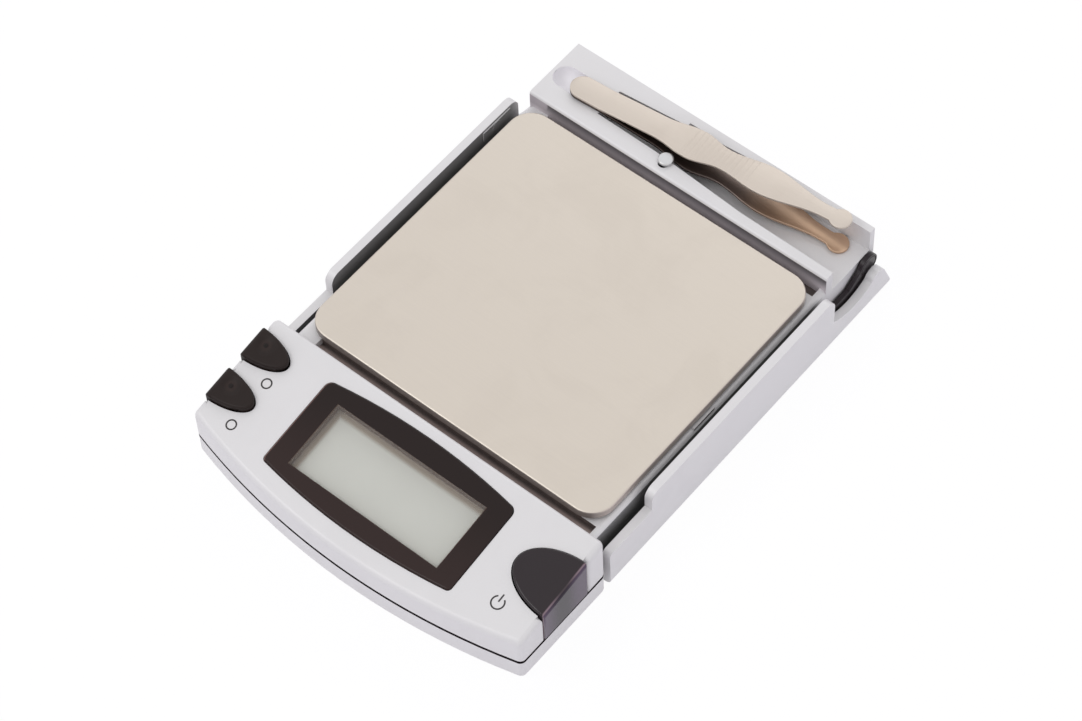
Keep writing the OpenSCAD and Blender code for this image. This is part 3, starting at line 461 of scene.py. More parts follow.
def clear_pane(name):
    """Clear acrylic over the display."""
    material, net, shader = start_material(name, Alpha=0.1, Coat_Weight=0.4, Coat_Roughness=0.03)
    marks = place_effect(net, "Finger Smudges", {"Size": 90.0, "Amount": 0.04})
    net.join(tinted(net, (0.78, 0.72, 0.66), marks.outputs["Tint"]), shader.inputs["Base Color"])
    roughened(net, shader, 0.04, marks.outputs["Gloss Shift"])
    return material


def blank_display(name, rgb):
    """Grey-green liquid crystal panel with a faint dot mesh, shaded at its rear and left."""
    material, net, shader = start_material(name, Specular_IOR_Level=0.4)
    flakes = place_effect(net, "Paint Speckle", {"Size": 3600.0, "Tint Range": 0.06})
    marks = place_effect(net, "Finger Smudges", {"Size": 35.0, "Amount": 0.05})
    shadow = 1.2 * MM
    rear = net.remap(position_along(net, "Y"), DISPLAY_REAR - shadow, DISPLAY_REAR, 1.0, 0.0)
    left = net.remap(position_along(net, "X"), DISPLAY_X, DISPLAY_X + shadow, 0.0, 1.0)
    lit = net.math("MINIMUM", rear, left)
    tone = blended(lit, (0.48, 0.385, 0.31), (1.03, 1.03, 1.03), rgb)
    tint = tinted(net, tone, flakes.outputs["Tint"], marks.outputs["Tint"])
    net.join(tint, shader.inputs["Base Color"])
    roughened(net, shader, 0.32, marks.outputs["Gloss Shift"])
    return material


def from_pips(net):
    """The distance from the nearer of the pips in the two small keys, seen from above."""
    place = net.add("ShaderNodeTexCoord")
    flat = net.add("ShaderNodeVectorMath", operation="MULTIPLY")
    flat.inputs[1].default_value = (1, 1, 0)
    net.join(place.outputs["Object"], flat.inputs[0])
    reach = []
    for centre in PIPS:
        away = net.add("ShaderNodeVectorMath", operation="DISTANCE")
        away.inputs[1].default_value = centre
        net.join(flat.outputs[0], away.inputs[0])
        reach.append(away.outputs["Value"])
    return net.math("MINIMUM", reach[0], reach[1])


def pip_painted_shade(net):
    """Painted shade in a pip, a little darker than the key, in a ring of painted highlight."""
    near = from_pips(net)
    pip = net.remap(near, 0.3 * MM, 0.65 * MM, 0.55, 1.5)
    return net.math("MULTIPLY", pip, net.remap(near, 0.75 * MM, 1.5 * MM, 1.0, 0.667))


def key_dish(name, rgb):
    """Satin key plastic with a shallow thumb dish and a small pip in each of the two keys."""
    # The pip's colour carries painted shade and a painted highlight ring
    material = moulded(name, rgb, 0.42, 0.008 * MM, 1800.0, specular=0.2, shade=pip_painted_shade)
    net, shader = Net(material.node_tree), material.node_tree.nodes["Principled BSDF"]
    grain = shader.inputs["Normal"].links[0].from_node
    near = from_pips(net)
    dish = net.remap(near, 0.6 * MM, 2.3 * MM, 0.0, 1.0)
    pip = net.remap(near, 0.15 * MM, 0.5 * MM, 0.45, 0.0)
    hollow = net.add("ShaderNodeBump", {"Distance": 0.35 * MM, "Strength": 1.0})
    net.join(net.math("ADD", dish, pip), hollow.inputs["Height"])
    net.join(hollow.outputs["Normal"], grain.inputs["Normal"])
    return material


def gap_painted_shade(net):
    """Painted shade on the faces of the narrow gap beside the body, except at the open hinge end.
    """
    closed, opened = 36 * MM, 41 * MM
    return net.remap(position_along(net, "Y"), closed, opened, 0.3, 1.0)


def trench_painted_shade(net):
    """Painted shade on the floor of the trench, darker from the panel towards the plate."""
    return net.remap(position_along(net, "Y"), *TRENCH_Y, 2.6, 0.65)


def wall_painted_shade(net):
    """Painted shade on the wall behind the rear trench, darker upwards under the bright edge of
    the block.
    """
    foot, edge = 12.6 * MM, 15.8 * MM
    left, after_left = -31.6 * MM, -30.6 * MM
    height = net.remap(position_along(net, "Z"), foot, edge, 0.95, 0.17)
    start = net.remap(position_along(net, "X"), left, after_left, 0.7, 0.0)
    return net.math("MAXIMUM", height, start)


def skirt_painted_shade(net):
    """Painted shade on the front of the plate's rim, which stands over the trench."""
    return net.remap(facing_along(net, "Y"), -0.9, -0.2, 0.42, 0.95)


def fold_painted_highlight(net):
    """A painted highlight where the power key folds over the panel's edge, strongest at its ends.
    """
    line = band(net, facing_along(net, "X"), (0.3, 0.5), (0.6, 0.8))
    along = net.math("SUBTRACT", position_along(net, "Y"), POWER_KEY_Y)
    from_middle = net.math("ABSOLUTE", along)
    dim, bright = 0.5 * MM, 4.5 * MM
    ends = net.remap(from_middle, dim, bright, 2.0, 12.0)
    return net.math("ADD", net.math("MULTIPLY", line, ends), 1.3)


def side_painted_reflection(net):
    """Painted reflection: soft dark and light bands along the side of the power key."""
    front, dark_from, dark_to, rear = -46 * MM, -41 * MM, -40 * MM, -35.5 * MM
    first = net.remap(position_along(net, "Y"), front, dark_from, 1.5, 0.45)
    last = net.remap(position_along(net, "Y"), dark_to, rear, 0.0, 0.95)
    return net.math("ADD", first, last)


def lower_leg_painted_light(rgb):
    """The lower leg's copper, a painted reflection, which turns dark grey towards the joined end
    as painted shade under the upper leg.
    """

    def tone(net):
        grey_to, copper_from = -14 * MM, 27 * MM
        reach = net.remap(position_along(net, "X"), grey_to, copper_from, 0.0, 1.0)
        ramp = net.add("ShaderNodeValToRGB")
        ends = ramp.color_ramp.elements
        ends[0].color = (0.07, 0.052, 0.046, 1)
        ends[1].color = (*rgb, 1)
        ends.new(0.6).color = (0.25, 0.2, 0.18, 1)
        net.join(reach, ramp.inputs["Fac"])
        return ramp.outputs["Color"]

    return tone


def bezel_painted_highlight(net):
    """Lightens the bezel towards its front, and paints a highlight along its rounded left edge.
    """
    front, rear = -53 * MM, -33 * MM
    slope = net.remap(position_along(net, "Y"), front, rear, 1.9, 1.0)
    # Painted highlight along the rounded left edge
    line = band(net, facing_along(net, "X"), (-0.75, -0.6), (-0.35, -0.2), 9.0)
    return net.math("ADD", slope, line)


def make_finishes(look):
    """One material for each finish of the scale."""
    along_x, along_y = (70.0, 3200.0, 3200.0), (3200.0, 70.0, 3200.0)
    return {
        "silver_case": painted("silver_case", look.silver),
        # Painted shade in the narrow gap beside the body
        "painted_gap_shade": painted("painted_gap_shade", look.silver, shade=gap_painted_shade),
        # Painted shade in the trench in front of the plate
        "painted_trench_shade": painted("painted_trench_shade", (0.16, 0.125, 0.115), 0.0, shade=trench_painted_shade),
        # Painted shade on the wall behind the rear trench
        "painted_wall_shade": painted("painted_wall_shade", (0.76, 0.7, 0.74), 0.0, shade=wall_painted_shade),
        # Painted light: a paler silver that brightens the shaded scoop
        "painted_scoop_light": painted("painted_scoop_light", (0.97, 0.955, 0.985), 0.0),
        "bezel_gloss": moulded(
            "bezel_gloss", look.bezel, 0.16, 0.001 * MM, specular=0.2, shade=bezel_painted_highlight
        ),
        # Painted light: a paler copy of the bezel for the walls of its opening
        "bezel_wall_painted_light": moulded("bezel_wall_painted_light", (0.1, 0.07, 0.055), 0.4, specular=0.2),
        "clear_pane": clear_pane("clear_pane"),
        "lcd": blank_display("lcd", look.lcd),
        "inner_plastic": moulded("inner_plastic", (0.62, 0.62, 0.6), 0.45),
        "conductive_rubber": moulded("conductive_rubber", (0.5, 0.3, 0.3), 0.6),
        "board": moulded("board", (0.02, 0.13, 0.05), 0.3, coat=0.3),
        "components": moulded("components", (0.02, 0.02, 0.022), 0.5),
        "key_plastic": key_dish("key_plastic", look.keys),
        # Painted highlight along the power key's fold
        "key_gloss": moulded(
            "key_gloss", (0.019, 0.0135, 0.016), 0.14, 0.002 * MM, specular=0.3, shade=fold_painted_highlight
        ),
        # Painted reflection: a purple tone with bands on the power key's side
        "key_side": moulded(
            "key_side", (0.073, 0.052, 0.082), 0.16, 0.002 * MM, specular=0.2, shade=side_painted_reflection
        ),
        "plate_steel": steel("plate_steel", look.plate, 0.42, along_x, 0.05, 0.0025 * MM),
        # Painted shade on the front of the plate's rim
        "plate_skirt": painted("plate_skirt", (0.64, 0.56, 0.51), 0.35, 0.35, shade=skirt_painted_shade),
        "plated_steel": steel("plated_steel", (0.6, 0.6, 0.61), 0.28, along_x),
        "beam": steel("beam", (0.7, 0.71, 0.73), 0.36, along_x),
        "foil": moulded("foil", (0.6, 0.25, 0.05), 0.3, coat=0.3),
        "pad_rubber": moulded("pad_rubber", (0.06, 0.06, 0.06), 0.75),
        "holder_plastic": moulded("holder_plastic", (0.03, 0.03, 0.035), 0.5),
        "spring_brass": steel("spring_brass", (0.75, 0.55, 0.22), 0.3, along_y),
        "arm_black": moulded("arm_black", look.arms, 0.3, 0.003 * MM, specular=0.25, coat=0.04),
        "tweezers_steel": steel("tweezers_steel", look.tweezers, 0.5, along_x, 0.06),
        # Painted reflection on the lower leg, turning to painted shade at its joined end
        "tweezers_painted_light": steel("tweezers_painted_light", lower_leg_painted_light(look.copper), 0.34, along_x, 0.2),
        "seam_shadow": moulded("seam_shadow", (0.012, 0.007, 0.009), 0.8, specular=0.08),
        "print_black": moulded("print_black", (0.03, 0.026, 0.026), 0.5),
    }


def finish_named(slot):
    """The material of a finish; the CAD model's own materials have other names."""
    return bpy.data.materials["scale_" + slot]


# Mesh helpers


def link_piece(name, mesh):
    piece = bpy.data.objects.new(name, mesh)
    bpy.context.scene.collection.objects.link(piece)
    return piece


def mesh_from(name, work):
    mesh = bpy.data.meshes.new(name)
    work.to_mesh(mesh)
    work.free()
    return mesh


def clean_copy(node):
    """An editable copy of a CAD node, with its flat faces joined up."""
    work = bmesh.new()
    work.from_mesh(frame["nodes"][node].data)
    bmesh.ops.remove_doubles(work, verts=work.verts, dist=0.0015 * MM)
    bmesh.ops.dissolve_limit(
        work, angle_limit=math.radians(0.4), verts=work.verts, edges=work.edges
    )
    bmesh.ops.recalc_face_normals(work, faces=work.faces)
    return work


def soften(piece, radius, segments, angle=30.0, weights=None, clamp=True):
    """Rounds the edges of a piece, or only those that a layer of weights names."""
    rounding = piece.modifiers.new("Rounded edges", "BEVEL")
    rounding.width = radius
    rounding.segments = segments
    rounding.limit_method = "WEIGHT" if weights else "ANGLE"
    if weights:
        rounding.edge_weight = weights
    rounding.angle_limit = math.radians(angle)
    rounding.use_clamp_overlap = clamp
    rounding.miter_outer = "MITER_ARC" if clamp else "MITER_SHARP"
    return rounding


def level_normals(piece):
    shading = piece.modifiers.new("Flat faces", "WEIGHTED_NORMAL")
    shading.keep_sharp = True
    shading.weight = 90


def smooth_faces(mesh, angle):
    mesh.polygons.foreach_set("use_smooth", [True] * len(mesh.polygons))
    mesh.set_sharp_from_angle(angle=math.radians(angle))


def settle(piece, node):
    """The piece stands for a CAD node and moves with its body."""
    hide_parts(node)
    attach(piece, frame["nodes"][node]["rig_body"])
    return piece


def paint_faces(piece, slot, chosen):
    """Gives a second finish to the faces that chosen(face, points) names."""
    mesh = piece.data
    mesh.materials.append(finish_named(slot))
    for face in mesh.polygons:
        points = [mesh.vertices[i].co for i in face.vertices]
        face.material_index = 1 if chosen(face, points) else 0


def dress(node, radius, segments, angle, weight=None):
    """A CAD node's own shape with rounded edges and its finish.

    weight gives each edge a share of the radius, from its two faces; the edges that
    it leaves at 0 stay sharp.
    """
    work = clean_copy(node)
    if weight:
        share = work.edges.layers.float.new("share")
        for edge in work.edges:
            if len(edge.link_faces) == 2 and edge.calc_face_angle(0.0) > math.radians(angle):
                edge[share] = weight(*edge.link_faces)
    mesh = mesh_from(node + "_form", work)
    mesh.materials.clear()
    mesh.materials.append(finish_named(FINISH_OF[node]))
    smooth_faces(mesh, 60.0)
    piece = link_piece(node + "_piece", mesh)
    if weight:
        soften(piece, radius, segments, weights="share", clamp=False)
    else:
        soften(piece, radius, segments, angle)
    level_normals(piece)
    return settle(piece, node)


# Where edges and faces lie


def top_share(one, other):
    """The whole radius on the edges of a piece's top."""
    return 1.0 if max(one.normal.z, other.normal.z) > 0.9 else 0.0


def fold_share(one, other):
    """The whole radius where a key folds over the panel's edge, less along its outline."""
    pair = (one, other)
    side = any(
        abs(face.normal.x) > 0.95 and abs(face.calc_center_median().x) > KEY_SIDE_X - 0.2 * MM
        for face in pair
    )
    top = any(face.normal.z > 0.9 for face in pair)
    if side and top:
        return 1.0
    return 0.45 if top or side else 0.0


def middle_of(edge):
    one, other = (v.co for v in edge.verts)
    return (one + other) / 2


def in_seam(points):
    """Whether all the points lie in the seam between the shells, or on its edges."""
    return all(SEAM[0] - CLOSE < p.z < SEAM[1] + CLOSE for p in points)


def front_line(x):
    """Y of the bowed front of the control section at this X."""
    radius = (FRONT_HALF**2 + FRONT_BOW**2) / (2 * FRONT_BOW)
    return FRONT_Y + radius - math.sqrt(max(radius**2 - x**2, 0))


# Operators


class SCALE_OT_finishes(bpy.types.Operator):
    """Makes the materials and gives every CAD node its finish"""

    bl_idname = "scale.finishes"
    bl_label = "Finishes"

    def execute(self, context):
        make_finishes(context.scene.scale_finish)
        for node, obj in frame["nodes"].items():
            obj.data.materials.clear()
            obj.data.materials.append(finish_named(FINISH_OF[node]))
            smooth_faces(obj.data, 35.0)
        return {"FINISHED"}


class SCALE_OT_case(bpy.types.Operator):
    """Rounds the shells and the rear block, and paints shade into the seam, the gaps, the
    trenches and the wall behind the rear trench, and light into the scoop
    """

    bl_idname = "scale.case"
    bl_label = "Case"

    finishes = (
        "silver_case",
        "seam_shadow",
        "painted_gap_shade",
        "painted_trench_shade",
        "painted_wall_shade",
        "painted_scoop_light",
    )

    def execute(self, context):
        look = context.scene.scale_finish
        for node in ("upper_shell", "lower_shell", "rear_block"):
            work = clean_copy(node)
            for height in SEAM:
                bmesh.ops.bisect_plane(
                    work,
                    geom=work.verts[:] + work.edges[:] + work.faces[:],
                    plane_co=(0, 0, height),
                    plane_no=(0, 0, 1),
                )
            rim = work.edges.layers.float.new("rim")
            small = work.edges.layers.float.new("small")
            for edge in work.edges:
                edge[rim] = self.rim_weight(node, edge)
                edge[small] = self.small_weight(edge) if edge[rim] == 0 else 0.0
            mesh = mesh_from(node + "_form", work)
            mesh.materials.clear()
            for finish in self.finishes:
                mesh.materials.append(finish_named(finish))
            for face in mesh.polygons:
                points = [mesh.vertices[i].co for i in face.vertices]
                finish = self.face_finish(node, face.normal, points)
                face.material_index = self.finishes.index(finish)
            smooth_faces(mesh, 60.0)
            piece = link_piece(node + "_piece", mesh)
            soften(piece, look.panel_edge, 4, weights="rim", clamp=False)
            soften(piece, look.case_edge, 2, weights="small")
            level_normals(piece)
            settle(piece, node)
        return {"FINISHED"}

    @staticmethod
    def rim_weight(node, edge):
        """A share of the panel's rounding on the control section's outer edges, else 0."""
        if len(edge.link_faces) != 2 or edge.calc_face_angle(0.0) < math.radians(50):
            return 0.0
        middle = middle_of(edge)
        if middle.y > PANEL_REAR + 0.1 * MM:
            return 0.0
        front_z, rear_z = PANEL_HEIGHTS
        rear = middle.y > PANEL_REAR - 1.3 * MM and middle.z > rear_z
        near = 0.6 * MM
        outer = abs(middle.x) > FRONT_HALF - near or middle.y < front_line(middle.x) + near
        if node == "upper_shell":
            return 1.0 if (outer or rear) and middle.z > front_z else 0.0
        return 0.8 if outer and middle.z < 0.2 * MM else 0.0

    @staticmethod
    def small_weight(edge):
        """1 on the other edges, except along the seam and behind the keys, which stay crisp."""
        if len(edge.link_faces) != 2 or in_seam(v.co for v in edge.verts):
            return 0.0
        middle = middle_of(edge)
        on_panel = middle.z > SEAM[1] and middle.y < PANEL_REAR - 0.6 * MM
        if on_panel and abs(middle.x) > KEY_NOTCH_X:
            return 0.0
        return 1.0 if abs(edge.calc_face_angle_signed(0.0)) > math.radians(34) else 0.0

    @staticmethod
    def face_finish(node, normal, points):
        """The finish of a face, by its place on the case."""
        heights = [p.z for p in points]
        sides = [abs(p.x) for p in points]
        low, floor_top, high = TRENCH_HEIGHTS
        if in_seam(points):
            return "seam_shadow"
        # Painted shade on the body's sides in the gap
        if abs(normal.x) > 0.9 and min(sides) > BODY_SIDES[0] and max(sides) < BODY_SIDES[1]:
            return "painted_gap_shade"
        # Painted shade on the trench's floor and its rear wall
        if node == "upper_shell" and min(heights) > low and max(heights) < high:
            floor = normal.z > 0.9 and max(heights) < floor_top
            return "painted_trench_shade" if floor or normal.y < -0.9 else "silver_case"
        if node == "rear_block":
            # Painted shade on the block's front wall
            if max(abs(p.y - BLOCK_FRONT) for p in points) < 0.02 * MM:
                return "painted_wall_shade"
            # Painted light in the finger scoop
            in_scoop = max(abs(p.y - SCOOP_Y) for p in points) < SCOOP_REACH
            if in_scoop and min(heights) > SCOOP_BOTTOM and normal.x < 0.99:
                return "painted_scoop_light"
        return "silver_case"


class SCALE_OT_plate(bpy.types.Operator):
    """Rounds the rim of the weighing plate"""

    bl_idname = "scale.plate"
    bl_label = "Weighing Plate"

    def execute(self, context):
        piece = dress("weighing_plate", 0.35 * MM, 4, 50.0)
        # The plate's rim gets a paint with painted shade at its front
        paint_faces(piece, "plate_skirt", lambda face, points: abs(face.normal.z) < 0.5)
        return {"FINISHED"}


class SCALE_OT_display(bpy.types.Operator):
    """Rounds the display frame and paints the walls of its opening paler, as painted light"""

    bl_idname = "scale.display"
    bl_label = "Display"

    def execute(self, context):
        piece = dress("display_bezel", 0.3 * MM, 3, 40.0, top_share)
        paint_faces(piece, "bezel_wall_painted_light", self.on_wall)
        return {"FINISHED"}

    @staticmethod
    def on_wall(face, points):
        """Whether a face of the bezel is a wall of its opening."""
        front, rear = WINDOW_Y
        inside = all(abs(p.x) < WINDOW_HALF and front < p.y < rear for p in points)
        return inside and abs(face.normal.z) < 0.5


class SCALE_OT_keys(bpy.types.Operator):
    """Rounds the three keys"""

    bl_idname = "scale.keys"
    bl_label = "Keys"

    def execute(self, context):
        look = context.scene.scale_finish
        keys = [
            dress(node, look.key_edge, 4, 40.0, fold_share)
            for node in ("unit_key", "tare_key", "power_key")
        ]
        # Painted reflection on the side of the power key
        paint_faces(keys[-1], "key_side", self.on_side)
        return {"FINISHED"}

    @staticmethod
    def on_side(face, points):
        """Whether a face of the power key is its side."""
        return face.normal.x > 0.95 and face.center.x > KEY_SIDE_X


class SCALE_OT_cover(bpy.types.Operator):
    """Rounds the folding cover, its arms and its pins"""

    bl_idname = "scale.cover"
    bl_label = "Folding Cover"

    def execute(self, context):
        piece = dress("folding_cover", 0.4 * MM, 3, 34.0)
        # Painted shade on the cover's inner sides, which face the body
        paint_faces(piece, "painted_gap_shade", self.on_inner_side)
        for node in ("swing_arm_left", "swing_arm_right"):
            dress(node, 0.15 * MM, 2, 40.0)
        for node in ("arm_pins", "cover_pins"):
            dress(node, 0.12 * MM, 2, 40.0)
        return {"FINISHED"}

    @staticmethod
    def on_inner_side(face, points):
        """Whether a face of the cover looks at the body's side."""
        return abs(face.normal.x) > 0.9 and max(abs(p.x) for p in points) < COVER_INSIDE


# One leg of the tweezers: stations from its joined end and sizes in millimetres, yaw in degrees
LEG = {
    "length": 62.9,
    "tip_r": 2.2,
    "width": 5.2,
    "width_to": 20,
    "grip": 7.2,
    "grip_at": 28.3,
    "waist": 4.8,
    "waist_at": 35.2,
    "belly": 6.8,
    "belly_at": 44,
    "neck": 2.9,
    "neck_len": 3.2,
    "thick": 0.6,
    "edge": 0.14,
    "gap": 7.3,
    "weld": 8.0,
    "start": (-30.07, 47.05, 17.57),
    "yaw": 4.45,
    "clearance": 0.25,
    "rib_from": 26.5,
    "rib_to": 41.5,
}
LEG_TIP = LEG["length"] - LEG["tip_r"]


def leg_half(s):
    """Half the width of a leg, in millimetres, at a distance from its joined end."""
    round_end, neck = LEG["width"] / 2, LEG["neck"] / 2
    if s < round_end:
        return math.sqrt(max(round_end**2 - (round_end - s) ** 2, 0))
    stations = [
        (round_end, round_end),
        (LEG["width_to"], round_end),
        (LEG["grip_at"], LEG["grip"] / 2),
        (LEG["waist_at"], LEG["waist"] / 2),
        (LEG["belly_at"], LEG["belly"] / 2),
        (LEG_TIP - LEG["neck_len"], neck),
        (LEG["length"], neck),
    ]
    half = neck
    for (s0, h0), (s1, h1) in zip(stations, stations[1:]):
        if s0 <= s <= s1:
            half = h0 + (h1 - h0) * (1 - math.cos(math.pi * (s - s0) / (s1 - s0))) / 2
    disc = LEG["tip_r"] ** 2 - (s - LEG_TIP) ** 2
    if s > LEG_TIP:
        return math.sqrt(max(disc, 0))
    return max(half, math.sqrt(disc)) if disc > 0 else half


def leg_gap(s):
    """Half the gap between the legs, in millimetres."""
    if s < LEG["weld"]:
        return 0.0
    spring_curve = 0.88
    return LEG["gap"] / 2 * ((s - LEG["weld"]) / (LEG_TIP - LEG["weld"])) ** spring_curve


def leg_place(s, y, z):
    """A point of the tweezers' own frame, in the scale's frame, in metres."""
    x0, y0, z0 = LEG["start"]
    tip_z = RECESS_FLOOR + LEG["clearance"] + LEG["thick"] + LEG["gap"] / 2
    pitch = math.atan((z0 - tip_z) / LEG_TIP)
    yaw = math.radians(LEG["yaw"])
    along = s * math.cos(pitch) + z * math.sin(pitch)
    up = -s * math.sin(pitch) + z * math.cos(pitch)
    return Vector(
        (
            x0 + along * math.cos(yaw) - y * math.sin(yaw),
            y0 + along * math.sin(yaw) + y * math.cos(yaw),
            z0 + up,
        )
    ) * MM


class SCALE_OT_tweezers(bpy.types.Operator):
    """Builds the two sprung legs of the tweezers with the ribs of their grips"""

    bl_idname = "scale.tweezers"
    bl_label = "Tweezers"

    def execute(self, context):
        shape = context.scene.tweezers_shape
        for node, side, finish in (
            ("tweezers_upper_leg", 1, "tweezers_steel"),
            ("tweezers_lower_leg", -1, "tweezers_painted_light"),
        ):
            mesh = self.leg(node, side, shape)
            mesh.materials.append(finish_named(finish))
            smooth_faces(mesh, 50.0)
            settle(link_piece(node + "_piece", mesh), node)
        dress("tweezers_catch", 0.3 * MM, 4, 40.0)
        return {"FINISHED"}

    def leg(self, node, side, shape):
        """Skins rounded cross sections from the joined end to the round tip."""
        work = bmesh.new()
        rings = []
        for s in self.steps():
            half, gap, thick = leg_half(s), leg_gap(s), LEG["thick"]
            groove = self.groove(s, shape)
            edge = min(LEG["edge"], 0.45 * half)
            rings.append(
                [
                    work.verts.new(leg_place(s, y, side * (gap + z)))
                    for y, z in self.section(half, thick, edge, groove)
                ]
            )
        for a, b in zip(rings, rings[1:]):
            for i in range(len(a)):
                after = (i + 1) % len(a)
                work.faces.new((a[i], a[after], b[after], b[i]))
        work.faces.new(rings[0])
        work.faces.new(list(reversed(rings[-1])))
        bmesh.ops.recalc_face_normals(work, faces=work.faces)
        return mesh_from(node + "_form", work)

    @staticmethod
    def steps():
        """Where the cross sections lie: close at both ends and along the ribs."""
        end_gap, beside_ribs = 0.03, 0.5
        fine, ribbed, coarse = 0.12, 0.15, 0.4
        found, s = [], end_gap
        while s < LEG["length"] - end_gap:
            found.append(s)
            near_end = s < 1.5 or s > LEG["length"] - 2.0
            in_ribs = LEG["rib_from"] - beside_ribs < s < LEG["rib_to"] + beside_ribs
            s += fine if near_end else ribbed if in_ribs else coarse
        return found + [LEG["length"] - 0.02]

    @staticmethod
    def groove(s, shape):
        """Depth of the grooves of the grip, in millimetres."""
        if not LEG["rib_from"] < s < LEG["rib_to"]:
            return 0.0
        wave = math.sin(math.pi * (s - LEG["rib_from"]) * MM / shape.rib_pitch)
        return shape.rib_depth / MM * wave**6

    @staticmethod
    def section(half, thick, edge, groove):
        """Outline of a leg across its length: the grooves sink only the outer face."""
        top = thick - groove
        points = []
        for cy, cz, start in (
            (half - edge, edge, -90),
            (half - edge, top - edge, 0),
            (-half + edge, top - edge, 90),
            (-half + edge, edge, 180),
        ):
            for k in range(4):
                angle = math.radians(start + 30 * k)
                points.append((cy + edge * math.cos(angle), cz + edge * math.sin(angle)))
        return points


class SCALE_OT_underside(bpy.types.Operator):
    """Rounds the battery door"""

    bl_idname = "scale.underside"
    bl_label = "Underside"

    def execute(self, context):
        dress("battery_door", 0.15 * MM, 2, 40.0)
        return {"FINISHED"}


def panel_point(x, y, up):
    """A point on the control panel, raised off its slope, in metres from millimetres."""
    fold_y, fold_z = PANEL_FOLD
    z = fold_z + math.tan(PANEL_TILT) * (y - fold_y)
    return Vector((x, y - up * math.sin(PANEL_TILT), z + up * math.cos(PANEL_TILT))) * MM


class SCALE_OT_marks(bpy.types.Operator):
    """Prints a plain mark beside each key"""

    bl_idname = "scale.marks"
    bl_label = "Key Marks"

    # In millimetres, seen from above
    power_at = (30.6, -48.1)
    power_radius = 1.25
    rings_at = ((-31.4, -39.8), (-31.4, -49.7))
    ring_radius = 0.95

    def execute(self, context):
        work = bmesh.new()
        x, y = self.power_at
        self.stroke(work, self.arc(x, y, self.power_radius, 125, 415))
        self.stroke(work, [(x, y + 0.15), (x, y + 1.8)])
        for x, y in self.rings_at:
            self.stroke(work, self.arc(x, y, self.ring_radius, 0, 360))
        mesh = mesh_from("key_marks_form", work)
        mesh.materials.append(finish_named("print_black"))
        marks = link_piece("key_marks", mesh)
        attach(marks, "case")
        return {"FINISHED"}

    @staticmethod
    def arc(x, y, radius, start, end):
        count = 40
        turns = [math.radians(start + (end - start) * i / count) for i in range(count + 1)]
        return [(x + radius * math.cos(turn), y + radius * math.sin(turn)) for turn in turns]

    @staticmethod
    def stroke(work, path):
        """A flat printed line along a path on the panel."""
        width, raised = 0.3, 0.015
        sides = []
        for i, point in enumerate(path):
            here = Vector(point)
            after = Vector(path[min(i + 1, len(path) - 1)])
            before = Vector(path[max(i - 1, 0)])
            run = (after - before).normalized()
            across = Vector((-run.y, run.x)) * width / 2
            sides.append(
                [
                    work.verts.new(panel_point(*(here + across), raised)),
                    work.verts.new(panel_point(*(here - across), raised)),
                ]
            )
        for (a, b), (c, d) in zip(sides, sides[1:]):
            work.faces.new((a, c, d, b))


def seen_rays(net):
    """1 where the camera sees the surface, straight or in a mirror or through glass."""
    rays = net.add("ShaderNodeLightPath")
    seen = net.math("ADD", rays.outputs["Is Camera Ray"], rays.outputs["Is Glossy Ray"])
    return net.math("ADD", seen, rays.outputs["Is Transmission Ray"], clamp=True)


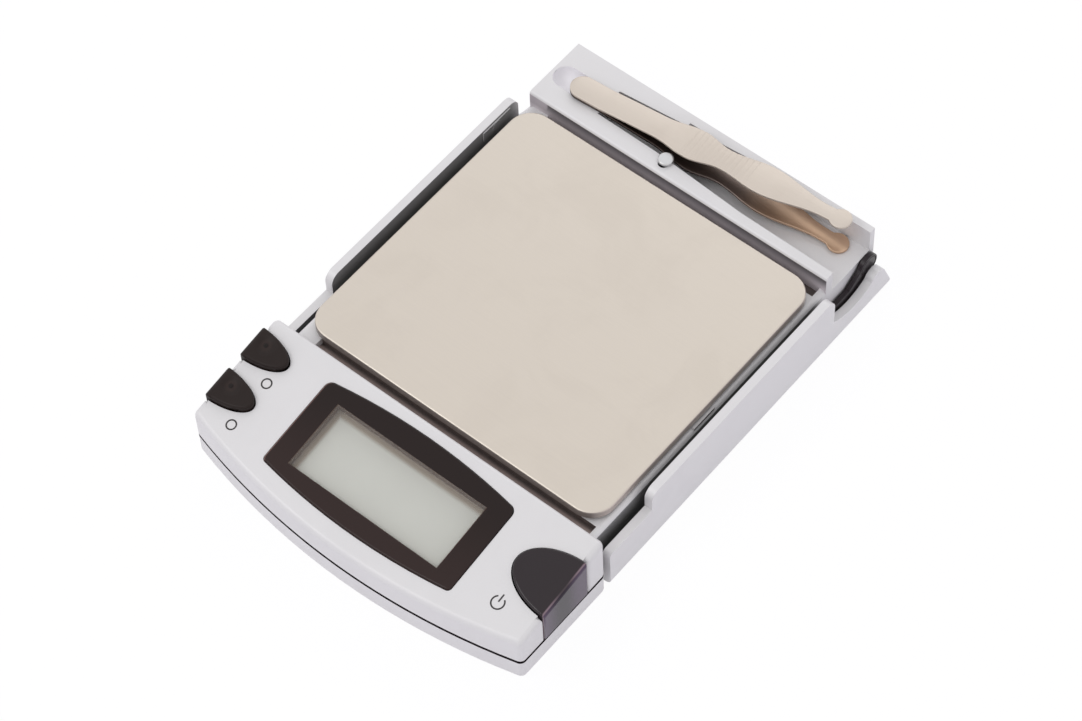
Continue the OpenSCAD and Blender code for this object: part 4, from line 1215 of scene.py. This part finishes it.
class SCALE_OT_stage(bpy.types.Operator):
    """Sets the floor, the light and the camera"""

    bl_idname = "scale.stage"
    bl_label = "Stage"

    def execute(self, context):
        self.floor()
        self.sky(context.scene)
        self.lamp("edge_light", (-0.36, -0.5, 0.76), (0.5, 0.35), 1.3)
        self.lamp("back_light", (-0.25, 0.75, 0.55), (0.7, 0.3), 0.7)
        self.camera(context.scene)
        context.scene.view_settings.view_transform = "Standard"
        return {"FINISHED"}

    @staticmethod
    def floor():
        """A white floor that curves up behind the scale."""
        size, flat_to, steepness = 1.4, 0.7, 1.4
        work = bmesh.new()
        bmesh.ops.create_grid(work, x_segments=24, y_segments=24, size=size)
        for vert in work.verts:
            beyond = max(vert.co.y - flat_to, 0)
            vert.co.z = beyond * beyond * steepness
        floor = link_piece("floor", mesh_from("floor_form", work))
        material, net, shader = start_material("white_floor", Roughness=0.6)
        shader.inputs["Base Color"].default_value = (0.86, 0.84, 0.91, 1)
        out = material.node_tree.nodes["Material Output"]
        glow = net.add("ShaderNodeEmission", {"Color": (1, 1, 1, 1), "Strength": 1.02})
        share = net.math("MULTIPLY", seen_rays(net), 0.93)
        mixed = net.add("ShaderNodeMixShader")
        net.join(share, mixed.inputs["Fac"])
        net.join(shader.outputs[0], mixed.inputs[1])
        net.join(glow.outputs[0], mixed.inputs[2])
        net.join(mixed.outputs[0], out.inputs["Surface"])
        floor.data.materials.append(material)

    @staticmethod
    def sky(scene):
        """Soft light from all round, white where the camera sees it."""
        world = bpy.data.worlds.new("studio")
        world.use_nodes = True
        scene.world = world
        net = Net(world.node_tree)
        sky = world.node_tree.nodes["Background"]
        place = net.add("ShaderNodeTexCoord")
        parts = net.add("ShaderNodeSeparateXYZ")
        net.join(place.outputs["Generated"], parts.inputs[0])
        fade = net.remap(parts.outputs["Z"], -0.1, 0.9, 0.0, 1.0)
        ramp = net.add("ShaderNodeValToRGB")
        ramp.color_ramp.elements[0].color = (0.72, 0.7, 0.77, 1)
        ramp.color_ramp.elements[1].color = (0.93, 0.92, 0.93, 1)
        net.join(fade, ramp.inputs["Fac"])
        net.join(ramp.outputs["Color"], sky.inputs["Color"])
        sky.inputs["Strength"].default_value = 0.85
        white = net.add("ShaderNodeBackground", {"Color": (1, 1, 1, 1), "Strength": 1.02})
        mixed = net.add("ShaderNodeMixShader")
        net.join(seen_rays(net), mixed.inputs["Fac"])
        net.join(sky.outputs[0], mixed.inputs[1])
        net.join(white.outputs[0], mixed.inputs[2])
        net.join(mixed.outputs[0], world.node_tree.nodes["World Output"].inputs["Surface"])

    @staticmethod
    def lamp(name, at, size, energy):
        """A soft lamp that looks at the scale."""
        data = bpy.data.lights.new(name, "AREA")
        data.shape, data.size, data.size_y, data.energy = "RECTANGLE", size[0], size[1], energy
        lamp = bpy.data.objects.new(name, data)
        lamp.location = at
        lamp.rotation_mode = "QUATERNION"
        lamp.rotation_quaternion = (-Vector(at)).to_track_quat("-Z", "Y")
        bpy.context.scene.collection.objects.link(lamp)

    @staticmethod
    def camera(scene):
        """The photograph's camera."""
        data = bpy.data.cameras.new("camera")
        data.lens = 116.337
        data.sensor_width = 36.0
        data.clip_start, data.clip_end = 0.01, 20.0
        camera = bpy.data.objects.new("camera", data)
        camera.location = (0.243537, -0.268666, 0.546721)
        camera.rotation_euler = (0.588754, 0.030572, 0.689738)
        scene.collection.objects.link(camera)
        scene.camera = camera


class SCALE_PT_panel(bpy.types.Panel):
    """Lists the steps that dress the scale"""

    bl_idname = "SCALE_PT_panel"
    bl_label = "Pocket Scale"
    bl_space_type = "VIEW_3D"
    bl_region_type = "UI"
    bl_category = "Pocket Scale"

    def draw(self, context):
        layout = self.layout
        look = context.scene.scale_finish
        for name in ("silver", "plate", "tweezers", "copper", "keys", "bezel", "lcd", "arms"):
            layout.prop(look, name)
        for name in ("case_edge", "panel_edge", "key_edge"):
            layout.prop(look, name)
        layout.prop(context.scene.tweezers_shape, "rib_depth")
        layout.prop(context.scene.tweezers_shape, "rib_pitch")
        for step in STEPS:
            layout.operator(step.bl_idname)


STEPS = (
    SCALE_OT_finishes,
    SCALE_OT_case,
    SCALE_OT_plate,
    SCALE_OT_display,
    SCALE_OT_keys,
    SCALE_OT_cover,
    SCALE_OT_tweezers,
    SCALE_OT_underside,
    SCALE_OT_marks,
    SCALE_OT_stage,
)
CLASSES = (ScaleFinish, TweezersShape, *STEPS, SCALE_PT_panel)


def register():
    for cls in CLASSES:
        bpy.utils.register_class(cls)
    bpy.types.Scene.scale_finish = PointerProperty(type=ScaleFinish)
    bpy.types.Scene.tweezers_shape = PointerProperty(type=TweezersShape)


def unregister():
    del bpy.types.Scene.tweezers_shape
    del bpy.types.Scene.scale_finish
    for cls in reversed(CLASSES):
        bpy.utils.unregister_class(cls)


def main():
    register()
    bpy.ops.scale.finishes()
    bpy.ops.scale.case()
    bpy.ops.scale.plate()
    bpy.ops.scale.display()
    bpy.ops.scale.keys()
    bpy.ops.scale.cover()
    bpy.ops.scale.tweezers()
    bpy.ops.scale.underside()
    bpy.ops.scale.marks()
    bpy.ops.scale.stage()


if __name__ == "__main__":
    main()
